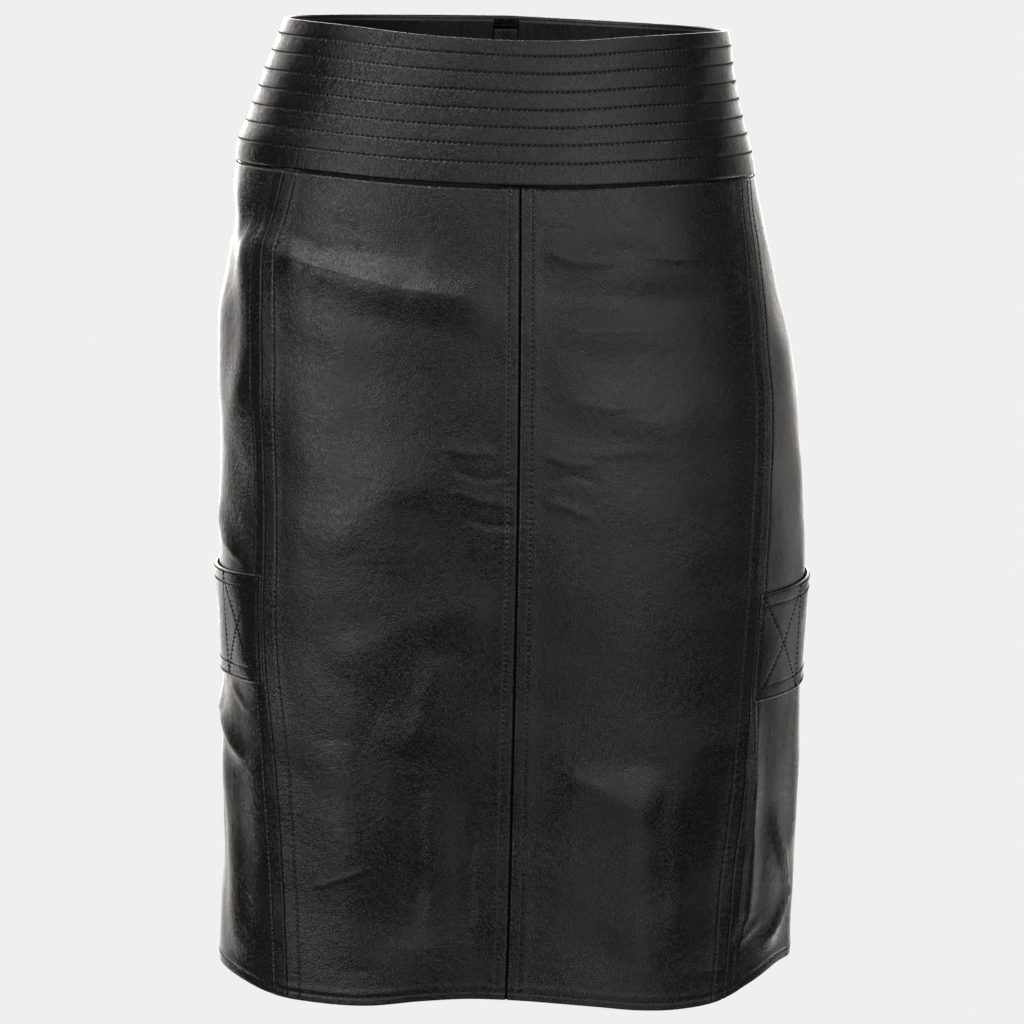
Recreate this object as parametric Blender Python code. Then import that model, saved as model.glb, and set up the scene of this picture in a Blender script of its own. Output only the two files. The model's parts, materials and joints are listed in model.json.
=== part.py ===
"""Leather midi skirt: a wide stitched waistband, six long panels and a strap on each side.

The frame has +Z up, the front facing -Y, and its origin in the middle of the waist
opening. Angles run round the skirt from the centre front, positive towards +X, so that
+90 is one side, 180 is the centre back and -90 is the other side. Left and right are
those of someone who looks at the front.

Every leather piece is a wall between two grids of points. Both grids come from one
surface: a superellipse for each height, whose sizes are read from SECTIONS, with the
broad folds of FOLDS added to it.
"""

import math
from typing import NamedTuple

import bmesh
import bpy
import numpy as np
from mathutils import Matrix, Vector

MM = 0.001

# Leather
PANEL_WALL = 1.4 * MM
BAND_WALL = 1.6 * MM
FACING_WALL = 1.0 * MM
STRAP_WALL = 1.6 * MM
SEAM_GAP = 0.3 * MM
LAYER_GAP = 0.6 * MM  # between two walls that lie on each other

# Waistband: eight stitched bands, whose rows sit at these shares of its height
ROW_SHARES = (0.0, 0.105, 0.226, 0.352, 0.476, 0.598, 0.719, 0.846, 1.0)
BAND_CROWN = 0.8 * MM
BAND_STANDS_OUT = 0.5 * MM
BAND_SIDE_SEAM = math.radians(97.0)
FACING_SHARES = (0.012, 0.93)  # of the waistband's height

# Panels
BACK_SEAM = math.radians(122.0)
PANEL_ROWS = 26

# Side straps, sewn flat over the side panels
STRAP_HEIGHT = 66.4 * MM
STRAP_FLARE = 1.3 * MM
STRAP_END_INSET = 1.8 * MM
STRAP_SIDE_SHARE = 0.4  # of its length, from the front end to the side line

# Zip, closed, behind the centre back edges
ZIP_TOP = -5.0 * MM
ZIP_LENGTH = 185.0 * MM
ZIP_WIDTH = 15.0 * MM
ZIP_THICKNESS = 0.9 * MM
SLIDER_HEIGHT = -13.0 * MM
SLIDER_PLATE = (3.4 * MM, 8.0 * MM, 0.8 * MM)
SLIDER_RING_RADIUS = 1.75 * MM
SLIDER_WIRE_RADIUS = 0.6 * MM
PULL_LENGTH = 21.0 * MM
PULL_TOP_WIDTH = 4.2 * MM
PULL_LOW_WIDTH = 6.4 * MM
PULL_THICKNESS = 1.0 * MM
PULL_BAR = 1.2 * MM
PULL_SLOT_WIDTH = 2.2 * MM
PULL_SLOT_LENGTH = 3.2 * MM


class Section(NamedTuple):
    """One level section of the skirt, in millimetres."""

    height: float      # above the middle of the waist opening
    centre_x: float    # middle of its width
    half_width: float
    front: float       # depth from the side line to the centre front
    back: float        # depth from the side line to the centre back
    squareness: float  # exponent of the superellipse, 2 for an ellipse


SECTIONS = (
    #       height centre  half   front   back  square
    Section(12.0, 0.3, 131.6, 95.5, 102.5, 2.10),
    Section(0.0, 0.0, 135.3, 97.0, 104.5, 2.10),
    Section(-30.0, -3.0, 143.5, 101.0, 109.5, 2.13),
    Section(-60.0, -4.6, 152.2, 105.0, 114.5, 2.16),
    Section(-73.0, -5.2, 156.8, 107.0, 117.0, 2.18),
    Section(-88.0, -4.6, 159.4, 109.0, 119.5, 2.20),
    Section(-104.0, -3.7, 161.9, 111.0, 122.5, 2.20),
    Section(-122.0, -1.4, 163.4, 112.8, 126.0, 2.22),
    Section(-149.0, 0.2, 168.4, 115.5, 131.0, 2.24),
    Section(-177.0, 1.7, 174.4, 118.0, 135.0, 2.25),
    Section(-200.0, 4.2, 177.2, 119.8, 137.0, 2.26),
    Section(-248.0, 8.3, 179.4, 122.2, 137.5, 2.30),
    Section(-300.0, 10.2, 181.2, 123.6, 134.5, 2.33),
    Section(-330.0, 11.0, 181.6, 123.2, 131.5, 2.35),
    Section(-400.0, 12.6, 179.8, 119.6, 125.5, 2.38),
    Section(-430.0, 12.8, 180.2, 118.0, 123.5, 2.40),
    Section(-500.0, 13.6, 178.6, 114.4, 120.0, 2.40),
    Section(-546.0, 12.8, 178.4, 112.8, 119.0, 2.38),
    Section(-600.0, 12.0, 178.8, 112.4, 118.5, 2.36),
)


class SeamPlace(NamedTuple):
    """Where the long seams cross one height, as distances along X in millimetres."""

    height: float
    left: float    # front princess seam on the left
    middle: float  # centre front seam
    right: float   # front princess seam on the right
    zip: float     # centre back seam


SEAMS = (
    #         height   left  middle  right   zip
    SeamPlace(10.0, -104.0, 10.5, 125.0, 0.4),
    SeamPlace(-80.0, -128.0, 11.0, 147.0, -2.6),
    SeamPlace(-107.0, -133.2, 11.5, 149.6, -2.4),
    SeamPlace(-132.0, -138.0, 12.0, 152.4, -1.4),
    SeamPlace(-168.0, -140.0, 12.6, 156.8, 0.2),
    SeamPlace(-240.0, -140.0, 13.7, 162.4, 3.4),
    SeamPlace(-307.0, -138.0, 14.3, 161.0, 5.8),
    SeamPlace(-378.0, -136.0, 14.5, 158.4, 7.8),
    SeamPlace(-420.0, -131.2, 14.5, 156.4, 8.8),
    SeamPlace(-486.0, -125.0, 14.4, 153.0, 10.0),
    SeamPlace(-519.0, -123.0, 14.3, 149.6, 10.5),
    SeamPlace(-552.0, -121.0, 14.1, 148.2, 10.9),
    SeamPlace(-600.0, -119.0, 13.4, 144.8, 11.2),
)


class TopHeight(NamedTuple):
    """Heights of the waistband's two edges at one angle, in degrees and millimetres."""

    angle: float
    rim: float   # top edge of the waistband
    yoke: float  # seam between waistband and panels


TOP_EDGES = (
    #         angle   rim   yoke
    TopHeight(-180.0, 3.6, -86.0),
    TopHeight(-135.0, 2.6, -86.0),
    TopHeight(-90.0, 1.1, -86.0),
    TopHeight(-57.0, -1.7, -88.6),
    TopHeight(-28.0, -6.4, -92.6),
    TopHeight(0.0, -8.5, -93.9),
    TopHeight(24.0, -8.0, -93.6),
    TopHeight(45.0, -4.8, -91.6),
    TopHeight(66.0, -2.4, -89.4),
    TopHeight(90.0, -1.0, -87.6),
    TopHeight(135.0, 1.2, -87.0),
    TopHeight(180.0, 3.6, -86.0),
)


class HemHeight(NamedTuple):
    """Height of the wavy hem at one angle, in degrees and millimetres."""

    angle: float
    hem: float


HEM_EDGE = (
    HemHeight(-180.0, -584.0), HemHeight(-135.0, -586.0), HemHeight(-104.0, -584.5),
    HemHeight(-90.0, -584.0), HemHeight(-80.0, -585.0), HemHeight(-70.0, -588.2),
    HemHeight(-62.0, -592.3), HemHeight(-50.0, -594.0), HemHeight(-39.0, -593.0),
    HemHeight(-25.0, -588.2), HemHeight(-12.0, -585.6), HemHeight(2.0, -585.6),
    HemHeight(14.0, -587.0), HemHeight(28.0, -589.5), HemHeight(39.0, -592.2),
    HemHeight(48.0, -592.6), HemHeight(56.0, -590.0), HemHeight(65.0, -581.0),
    HemHeight(74.0, -572.8), HemHeight(84.0, -573.2), HemHeight(97.0, -573.8),
    HemHeight(128.0, -579.0), HemHeight(155.0, -585.0), HemHeight(180.0, -584.0),
)


class Fold(NamedTuple):
    """A soft ridge, or a trough where rise is negative, from one place to another."""

    from_angle: float   # degrees
    from_height: float  # millimetres
    to_angle: float
    to_height: float
    width: float        # millimetres from its line to where it has all but gone
    rise: float         # millimetres


FOLDS = (
    # bent ridge under the waistband on the left, with a hollow above and below it
    Fold(-66.0, -124.0, -52.0, -143.0, 17.0, 1.5),
    Fold(-52.0, -144.5, -26.0, -156.0, 18.0, 1.2),
    Fold(-28.0, -156.0, -3.0, -159.5, 16.0, 0.9),
    Fold(-47.0, -172.0, -6.0, -182.0, 16.0, -0.7),
    Fold(-48.0, -127.0, -20.0, -138.0, 18.0, -1.3),
    # shallow waves across the right of the front
    Fold(12.0, -134.0, 56.0, -138.0, 20.0, 1.3),
    Fold(10.0, -160.0, 60.0, -162.0, 16.0, -1.2),
    Fold(16.0, -180.0, 48.0, -183.0, 16.0, 1.0),
    Fold(14.0, -225.0, 50.0, -232.0, 22.0, 1.2),
    # slack of the left side between waistband and strap
    Fold(-88.0, -106.0, -86.0, -134.0, 20.0, -1.2),
    Fold(-80.0, -150.0, -80.0, -262.0, 22.0, 0.8),
    Fold(-84.0, -300.0, -70.0, -326.0, 16.0, 1.6),
    # bowed fold across the middle of the left front
    Fold(-50.0, -318.0, -34.0, -281.0, 22.0, 0.5),
    Fold(-36.0, -281.0, -18.0, -273.0, 22.0, 0.4),
    # drapes of the lower left front
    Fold(-8.0, -345.0, -48.0, -384.0, 24.0, 0.6),
    Fold(-18.0, -374.0, -28.0, -440.0, 22.0, 1.3),
    Fold(-27.0, -448.0, -27.0, -556.0, 20.0, -1.6),
    Fold(-13.0, -452.0, -14.0, -552.0, 20.0, -1.4),
    Fold(-46.0, -430.0, -42.0, -572.0, 26.0, 1.6),
    # drapes of the lower right front
    Fold(14.0, -452.0, 40.0, -470.0, 26.0, 1.7),
    Fold(36.0, -440.0, 38.0, -575.0, 24.0, 2.0),
    Fold(53.0, -430.0, 53.0, -570.0, 24.0, -2.0),
    # folds that fall from the straps to the hem
    Fold(-90.0, -414.0, -68.0, -452.0, 15.0, 2.0),
    Fold(-79.0, -440.0, -72.0, -572.0, 18.0, 2.0),
    Fold(-91.0, -470.0, -92.0, -592.0, 11.0, -2.2),
    Fold(61.0, -440.0, 62.0, -534.0, 12.0, 1.4),
    Fold(69.0, -470.0, 78.0, -532.0, 10.0, 1.4),
    Fold(78.0, -526.0, 69.0, -562.0, 10.0, 1.2),
    Fold(103.0, -425.0, 106.0, -585.0, 14.0, -1.8),
    # the like of these on the hidden back
    Fold(148.0, -160.0, 174.0, -178.0, 18.0, 2.4),
    Fold(-174.0, -196.0, -146.0, -178.0, 20.0, -1.8),
    Fold(-172.0, -300.0, -146.0, -320.0, 22.0, 2.0),
    Fold(134.0, -300.0, 130.0, -410.0, 24.0, -1.8),
    Fold(160.0, -400.0, 153.0, -548.0, 26.0, 2.2),
    Fold(-164.0, -412.0, -160.0, -562.0, 24.0, -2.2),
    Fold(-136.0, -420.0, -141.0, -566.0, 24.0, 2.2),
    Fold(112.0, -430.0, 108.0, -570.0, 22.0, 2.0),
    Fold(-112.0, -426.0, -108.0, -560.0, 22.0, -1.8),
)


class Strap(NamedTuple):
    """One side strap: the heights of its top edge, in millimetres."""

    side: int            # -1 left, +1 right
    top_at_front: float
    top_at_side: float


STRAPS = (Strap(-1, -334.2, -336.0), Strap(1, -339.0, -333.6))


def read_smooth(rows, key: str, name: str, at):
    """Read one column of a table on a smooth curve through its rows.

    The curve is a cubic between each two rows, with the slope at a row taken from its
    neighbours.
    """
    keys = np.array([getattr(row, key) for row in rows])
    values = np.array([getattr(row, name) for row in rows])
    order = np.argsort(keys)
    keys, values = keys[order], values[order]
    slopes = np.gradient(values, keys)
    low = np.clip(np.searchsorted(keys, at) - 1, 0, len(keys) - 2)
    span = keys[low + 1] - keys[low]
    t = np.clip((at - keys[low]) / span, 0.0, 1.0)
    start, end = values[low], values[low + 1]
    rise = 3.0 * t**2 - 2.0 * t**3
    bend = (t**3 - 2.0 * t**2 + t) * slopes[low] + (t**3 - t**2) * slopes[low + 1]
    return start + (end - start) * rise + bend * span


def section_size(name: str, height):
    """Read a length of the section at some heights, in metres."""
    return read_smooth(SECTIONS, "height", name, np.asarray(height) / MM) * MM


def squareness(height):
    """Read the exponent of the section at some heights."""
    return read_smooth(SECTIONS, "height", "squareness", np.asarray(height) / MM)


def edge_height(name: str, angle):
    """Read the height of the rim, the yoke seam or the hem at some angles, in metres."""
    turned = (np.degrees(angle) + 180.0) % 360.0 - 180.0
    rows = HEM_EDGE if name == "hem" else TOP_EDGES
    return read_smooth(rows, "angle", name, turned) * MM


def section_radius(angle, height):
    """Distance from the section's centre to its edge, in the direction of an angle."""
    depth = np.where(np.cos(angle) > 0.0, section_size("front", height), section_size("back", height))
    power = squareness(height)
    across = np.abs(np.sin(angle) / section_size("half_width", height)) ** power
    along = np.abs(np.cos(angle) / depth) ** power
    return (across + along) ** (-1.0 / power)


def fold_rise(angle, height):
    """Height of all folds together: a bell across each fold's line, faded at its ends."""
    total = np.zeros(np.broadcast(angle, height).shape)
    girth = section_radius(angle, height)
    for fold in FOLDS:
        middle = math.radians((fold.from_angle + fold.to_angle) / 2.0)
        near = (angle - middle + math.pi) % (2.0 * math.pi) - math.pi
        across = near * girth
        along = height - (fold.from_height + fold.to_height) / 2.0 * MM
        run = math.radians(fold.to_angle - fold.from_angle) * girth
        drop = (fold.to_height - fold.from_height) * MM
        length_squared = run**2 + drop**2
        share = np.clip((across * run + along * drop) / length_squared, -0.5, 0.5)
        gap_squared = (across - share * run) ** 2 + (along - share * drop) ** 2
        bell = np.exp(-3.0 * gap_squared / (fold.width * MM) ** 2)
        total = total + fold.rise * MM * bell * (1.0 - (2.0 * share) ** 4)
    below_yoke = np.clip((edge_height("yoke", angle) - height) / (25.0 * MM), 0.0, 1.0)
    return total * below_yoke


def surface(angle, height, out=0.0):
    """Points of the skirt's outer surface, moved out along its level normal."""
    angle, height, out = np.broadcast_arrays(angle, height, out)
    reach = section_radius(angle, height)
    x, y = reach * np.sin(angle), -reach * np.cos(angle)
    depth = np.where(np.cos(angle) > 0.0, section_size("front", height), section_size("back", height))
    power = squareness(height)
    half = section_size("half_width", height)
    normal_x = np.sign(x) * np.abs(x / half) ** (power - 1.0) / half
    normal_y = np.sign(y) * np.abs(y / depth) ** (power - 1.0) / depth
    length = np.hypot(normal_x, normal_y)
    away = out + fold_rise(angle, height)
    x = x + section_size("centre_x", height) + away * normal_x / length
    y = y + away * normal_y / length
    return np.stack([x, y, height], axis=-1)


def seam_aside(name: str, depth_name: str, height):
    """Angle by which a seam stands aside of the section's middle, on its front or back."""
    place = read_smooth(SEAMS, "height", name, np.asarray(height) / MM) * MM
    aside = place - section_size("centre_x", height)
    power = squareness(height)
    share = np.clip(np.abs(aside) / section_size("half_width", height), 0.0, 1.0)
    depth = section_size(depth_name, height) * (1.0 - share**power) ** (1.0 / power)
    return np.arctan2(aside, depth)


def front_seam(name: str):
    """Line of a front seam: a function that gives its angle at some heights."""
    def line(height):
        return seam_aside(name, "front", height)
    return line


def centre_back(turn: float):
    """Line of the centre back, reached by turning left (-pi) or right (pi)."""
    def line(height):
        return turn - seam_aside("zip", "back", height)
    return line


def side_line(angle: float):
    """Line that stays at one angle."""
    def line(height):
        return np.full_like(height, angle)
    return line


LINES = {
    "left": front_seam("left"),
    "middle": front_seam("middle"),
    "right": front_seam("right"),
    "back_left": side_line(-BACK_SEAM),
    "back_right": side_line(BACK_SEAM),
    "zip_from_left": centre_back(-math.pi),
    "zip_from_right": centre_back(math.pi),
    "side_left": side_line(-BAND_SIDE_SEAM),
    "side_right": side_line(BAND_SIDE_SEAM),
}


def columns_between(lines, columns: int, height_at, gaps):
    """Angles of a grid's columns between two lines, held back from them by two gaps.

    height_at gives the heights of the grid's rows at an angle. Each line's angle depends
    on the height and the height on the angle, so they are settled in turns.
    """
    ends = []
    for name, gap in zip(lines, (gaps[0], -gaps[1])):
        angle = LINES[name](height_at(np.zeros((1, 1))))
        for _ in range(4):
            height = height_at(angle)
            angle = LINES[name](height)
        ends.append(angle + gap / section_radius(angle, height))
    return ends[0] + (ends[1] - ends[0]) * np.linspace(0.0, 1.0, columns)[None, :]


def make_material(name: str, colour, roughness: float, metallic: float = 0.0):
    """Principled material of one colour."""
    material = bpy.data.materials.new(name)
    material.use_nodes = True
    shader = material.node_tree.nodes["Principled BSDF"]
    shader.inputs["Base Color"].default_value = (*colour, 1.0)
    shader.inputs["Roughness"].default_value = roughness
    shader.inputs["Metallic"].default_value = metallic
    material.diffuse_color = (*colour, 1.0)
    return material


def add_mesh_object(name: str, mesh, material, collection):
    """Put a mesh into the collection under its node's name."""
    mesh.materials.append(material)
    mesh.name = name
    piece = bpy.data.objects.new(name, mesh)
    collection.objects.link(piece)
    return piece


def wall_mesh(outer, inner):
    """Closed wall between two grids of points with the same rows and columns."""
    rows, columns = outer.shape[:2]
    count = rows * columns
    points = np.concatenate([outer.reshape(-1, 3), inner.reshape(-1, 3)])
    index = np.arange(count).reshape(rows, columns)
    corners = [index[:-1, :-1], index[1:, :-1], index[1:, 1:], index[:-1, 1:]]
    skin = np.stack(corners, axis=-1).reshape(-1, 4)
    faces = [skin, skin[:, ::-1] + count]
    rim = np.concatenate([index[0], index[1:, -1], index[-1, -2::-1], index[-2:0:-1, 0]])
    after = np.roll(rim, -1)
    faces.append(np.stack([rim, after, after + count, rim + count], axis=-1))
    mesh = bpy.data.meshes.new("wall")
    mesh.from_pydata(points.tolist(), [], np.concatenate(faces).tolist())
    mesh.update()
    mesh.shade_smooth()
    mesh.set_sharp_from_angle(angle=math.radians(45.0))
    return mesh


def build_panel(name: str, lines, columns: int, material, collection):
    """Long panel between two seams, from the waistband's seam to the hem."""
    share = np.linspace(0.0, 1.0, PANEL_ROWS)[:, None]

    def height_at(angle):
        top = edge_height("yoke", angle) - SEAM_GAP / 2.0
        return top + share * (edge_height("hem", angle) - top)

    angle = columns_between(lines, columns, height_at, (SEAM_GAP / 2.0, SEAM_GAP / 2.0))
    height = height_at(angle)
    outer = surface(angle, height)
    inner = surface(angle, height, -PANEL_WALL)
    return add_mesh_object(name, wall_mesh(outer, inner), material, collection)


def band_height(angle, share):
    """Height of a level share of the waistband at some angles."""
    rim = edge_height("rim", angle)
    return rim + share * (edge_height("yoke", angle) + SEAM_GAP / 2.0 - rim)


def band_rows():
    """Shares of the waistband's height, with how much of the crown each has."""
    shares, crowns = [], []
    for upper, lower in zip(ROW_SHARES[:-1], ROW_SHARES[1:]):
        shares += [upper, (upper + lower) / 2.0]
        crowns += [0.0, 1.0]
    return np.array(shares + [1.0])[:, None], np.array(crowns + [0.0])[:, None]


def build_band(name: str, lines, columns: int, material, collection):
    """Stretch of the waistband, with a row of stitches in each groove of its outer side."""
    share, crown = band_rows()
    angle = columns_between(lines, columns, lambda at: band_height(at, share),
                            (SEAM_GAP / 2.0, SEAM_GAP / 2.0))
    height = band_height(angle, share)
    outer = surface(angle, height, BAND_STANDS_OUT + crown * BAND_CROWN)
    inner = surface(angle, height, BAND_STANDS_OUT - BAND_WALL)
    return add_mesh_object(name, wall_mesh(outer, inner), material, collection)


def build_facing(name: str, lines, columns: int, gaps, material, collection):
    """Stretch of the waistband's facing, just inside it."""
    share = np.linspace(*FACING_SHARES, 5)[:, None]
    angle = columns_between(lines, columns, lambda at: band_height(at, share), gaps)
    height = band_height(angle, share)
    start = BAND_STANDS_OUT - BAND_WALL - LAYER_GAP
    outer = surface(angle, height, start)
    inner = surface(angle, height, start - FACING_WALL)
    return add_mesh_object(name, wall_mesh(outer, inner), material, collection)


def build_strap(strap: Strap, material, collection):
    """Side strap, made from the side panel's points and moved out."""
    rows, columns = 7, 13
    share = np.linspace(0.0, 1.0, rows)[:, None]
    along = np.linspace(0.0, 1.0, columns)[None, :]
    lines = ("back_left", "left") if strap.side < 0 else ("right", "back_right")
    front_share = along if strap.side > 0 else 1.0 - along
    to_side = np.clip(front_share / STRAP_SIDE_SHARE, 0.0, 1.0)
    top = (strap.top_at_front + (strap.top_at_side - strap.top_at_front) * to_side) * MM
    height = top - share * STRAP_HEIGHT
    ends = [LINES[name](height) for name in lines]
    inset = STRAP_END_INSET / section_radius(ends[0], height)
    angle = ends[0] + inset + (ends[1] - ends[0] - 2.0 * inset) * along
    flare = STRAP_FLARE * (1.0 - share) ** 2 * np.sin(math.pi * along) ** 2
    outer = surface(angle, height, SEAM_GAP + STRAP_WALL + flare)
    inner = surface(angle, height, SEAM_GAP + flare)
    name = "strap_left" if strap.side < 0 else "strap_right"
    return add_mesh_object(name, wall_mesh(outer, inner), material, collection)


def back_frame(height: float, out: float) -> Matrix:
    """Frame on the centre back: X along the rim, Y outwards and Z up the cloth."""
    zip_line = LINES["zip_from_right"]
    angle = zip_line(height)
    step = 1.0 * MM
    place = Vector(surface(angle, height, out))
    up = Vector(surface(zip_line(height + step), height + step, out)) - place
    along = Vector(surface(angle - step, height, out)) - Vector(surface(angle + step, height, out))
    up.normalize()
    away = up.cross(along).normalized()
    along = away.cross(up).normalized()
    frame = Matrix((along, away, up)).transposed().to_4x4()
    return Matrix.Translation(place) @ frame


def build_zip_tape(material, collection):
    """Closed zip: one tape behind both centre back edges."""
    share = np.linspace(0.0, 1.0, 15)[:, None]
    height = ZIP_TOP - share * ZIP_LENGTH
    middle = LINES["zip_from_right"](height)
    half = ZIP_WIDTH / 2.0 / section_radius(middle, height)
    angle = middle + half * np.linspace(-1.0, 1.0, 5)[None, :]
    start = -PANEL_WALL - LAYER_GAP
    outer = surface(angle, height, start)
    inner = surface(angle, height, start - ZIP_THICKNESS)
    return add_mesh_object("zip_tape", wall_mesh(outer, inner), material, collection)


def joined_bodies(primary, other):
    """Unite a second object with the first, and remove the second."""
    joint = primary.modifiers.new("unite", "BOOLEAN")
    joint.operation = "UNION"
    joint.solver = "EXACT"
    joint.object = other
    evaluated = primary.evaluated_get(bpy.context.evaluated_depsgraph_get())
    mesh = bpy.data.meshes.new_from_object(evaluated)
    primary.modifiers.clear()
    primary.data = mesh
    bpy.data.objects.remove(other)
    return primary


def build_slider(material, collection):
    """Zip slider: a small plate on the closed edges, with the ring that the pull hangs in."""
    ring_out = SLIDER_RING_RADIUS - SLIDER_WIRE_RADIUS
    plate_out = BAND_STANDS_OUT + BAND_CROWN + SEAM_GAP
    frame = back_frame(SLIDER_HEIGHT, plate_out)
    plate = bmesh.new()
    bmesh.ops.create_cube(plate, size=1.0)
    wide, tall, thick = SLIDER_PLATE
    bmesh.ops.transform(plate, matrix=Matrix.Diagonal((wide, thick, tall, 1.0)), verts=plate.verts)
    bmesh.ops.translate(plate, vec=(0.0, thick / 2.0, 0.0), verts=plate.verts)
    mesh = bpy.data.meshes.new("slider")
    plate.to_mesh(mesh)
    plate.free()
    slider = add_mesh_object("zip_slider", mesh, material, collection)
    bpy.ops.mesh.primitive_torus_add(
        major_radius=SLIDER_RING_RADIUS, minor_radius=SLIDER_WIRE_RADIUS,
        major_segments=20, minor_segments=8, rotation=(0.0, math.pi / 2.0, 0.0))
    ring = bpy.context.object
    ring.location = (0.0, thick + ring_out, 0.0)
    bpy.context.view_layer.update()
    slider = joined_bodies(slider, ring)
    slider.matrix_world = frame
    return slider, frame @ Matrix.Translation((0.0, thick + ring_out, 0.0))


def pull_outline(width_top: float, width_low: float, top: float, low: float):
    """Drop-shaped outline: a small half round at the top and a larger one at the bottom."""
    points = []
    for radius, centre, start in ((width_top / 2.0, top - width_top / 2.0, 0.0),
                                  (width_low / 2.0, low + width_low / 2.0, math.pi)):
        for step in range(9):
            turn = start + math.pi * step / 8.0
            points.append((radius * math.cos(turn), centre + radius * math.sin(turn)))
    return points


def build_pull(hinge: Matrix, material, collection):
    """Zip pull: a flat drop with a slot, its bar through the slider's ring."""
    curve = bpy.data.curves.new("pull", "CURVE")
    curve.dimensions = "2D"
    curve.fill_mode = "BOTH"
    curve.extrude = PULL_THICKNESS / 2.0
    top = PULL_BAR / 2.0
    outlines = [pull_outline(PULL_TOP_WIDTH, PULL_LOW_WIDTH, top, top - PULL_LENGTH),
                pull_outline(PULL_SLOT_WIDTH, PULL_SLOT_WIDTH, -PULL_BAR / 2.0,
                             -PULL_BAR / 2.0 - PULL_SLOT_LENGTH)]
    for outline in outlines:
        spline = curve.splines.new("POLY")
        spline.points.add(len(outline) - 1)
        spline.use_cyclic_u = True
        for point, (x, y) in zip(spline.points, outline):
            point.co = (x, y, 0.0, 1.0)
    drawn = bpy.data.objects.new("pull_outline", curve)
    collection.objects.link(drawn)
    bpy.context.view_layer.update()
    mesh = bpy.data.meshes.new_from_object(drawn.evaluated_get(bpy.context.evaluated_depsgraph_get()))
    bpy.data.objects.remove(drawn)
    welded = bmesh.new()
    welded.from_mesh(mesh)
    bmesh.ops.remove_doubles(welded, verts=welded.verts, dist=0.01 * MM)
    bmesh.ops.rotate(welded, verts=welded.verts, matrix=Matrix.Rotation(math.pi / 2.0, 3, "X"))
    bmesh.ops.recalc_face_normals(welded, faces=welded.faces)
    welded.to_mesh(mesh)
    welded.free()
    pull = add_mesh_object("zip_pull", mesh, material, collection)
    pull.matrix_world = hinge
    return pull


def build_skirt():
    """Build every piece of the skirt."""
    collection = bpy.data.collections.new("leather_midi_skirt")
    bpy.context.scene.collection.children.link(collection)

    leather = make_material("black_leather", (0.013, 0.012, 0.011), 0.42)
    strap_leather = make_material("strap_leather", (0.015, 0.014, 0.013), 0.40)
    band_leather = make_material("waistband_leather", (0.014, 0.013, 0.012), 0.42)
    lining = make_material("facing_leather", (0.017, 0.016, 0.016), 0.55)
    tape = make_material("zip_tape", (0.010, 0.010, 0.011), 0.80)
    metal = make_material("zip_metal", (0.20, 0.19, 0.18), 0.32, 1.0)

    panels = (("front_left", ("left", "middle"), 12), ("front_right", ("middle", "right"), 12),
              ("side_left", ("back_left", "left"), 13), ("side_right", ("right", "back_right"), 13),
              ("back_left", ("zip_from_left", "back_left"), 11),
              ("back_right", ("back_right", "zip_from_right"), 11))
    for name, lines, columns in panels:
        build_panel(name, lines, columns, leather, collection)

    half = SEAM_GAP / 2.0
    at_zip = ZIP_WIDTH / 2.0 + LAYER_GAP
    stretches = (("front", ("side_left", "side_right"), 29, (half, half)),
                 ("back_left", ("zip_from_left", "side_left"), 13, (at_zip, half)),
                 ("back_right", ("side_right", "zip_from_right"), 13, (half, at_zip)))
    for name, lines, columns, facing_gaps in stretches:
        build_band("waistband_" + name, lines, columns, band_leather, collection)
        build_facing("facing_" + name, lines, columns, facing_gaps, lining, collection)

    for strap in STRAPS:
        build_strap(strap, strap_leather, collection)

    build_zip_tape(tape, collection)
    slider, hinge = build_slider(metal, collection)
    build_pull(hinge, metal, collection)


def main():
    """Clear the scene and build the skirt."""
    for leftover in list(bpy.data.objects):
        bpy.data.objects.remove(leftover)
    build_skirt()


main()
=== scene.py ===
"""Looks of a worn, hollow leather midi skirt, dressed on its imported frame.

The frame has +Z up, the front facing -Y and its origin in the middle of the waist opening.
Angles run round the skirt from the centre front, positive towards +X. Every leather piece
is a grid of points on one form: a superellipse for each height, with folds and creases
added along its level normal. Left and right are those of someone who looks at the front.
"""

import json
import logging
import math
from dataclasses import dataclass, field
from enum import Enum
from typing import Callable, Optional, Sequence

import bpy
import numpy as np
from mathutils import Matrix


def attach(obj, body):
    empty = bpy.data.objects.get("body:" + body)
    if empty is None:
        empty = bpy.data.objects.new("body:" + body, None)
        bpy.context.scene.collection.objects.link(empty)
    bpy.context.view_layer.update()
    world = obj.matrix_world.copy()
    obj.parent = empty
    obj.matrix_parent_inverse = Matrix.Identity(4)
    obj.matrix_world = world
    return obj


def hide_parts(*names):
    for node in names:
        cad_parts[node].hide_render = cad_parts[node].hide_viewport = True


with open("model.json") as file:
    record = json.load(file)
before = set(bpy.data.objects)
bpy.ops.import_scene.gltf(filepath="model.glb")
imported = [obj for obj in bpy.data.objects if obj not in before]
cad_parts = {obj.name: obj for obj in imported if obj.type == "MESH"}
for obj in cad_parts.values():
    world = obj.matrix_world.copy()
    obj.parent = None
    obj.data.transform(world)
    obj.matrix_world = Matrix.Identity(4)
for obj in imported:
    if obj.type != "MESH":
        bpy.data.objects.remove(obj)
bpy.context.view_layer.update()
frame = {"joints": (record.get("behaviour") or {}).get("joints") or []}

LOG = logging.getLogger("leather_midi_skirt")
Array = np.ndarray
Piece, Material = bpy.types.Object, bpy.types.Material
Tree, Socket = bpy.types.NodeTree, bpy.types.NodeSocket
MM = 0.001
FULL_TURN = 2.0 * math.pi


# ------------------------------------------------------------------ tables of the form


@dataclass(frozen=True)
class Section:
    """One level section of the skirt, in millimetres."""

    height: float
    centre_x: float
    half_width: float
    front: float
    back: float
    squareness: float


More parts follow.
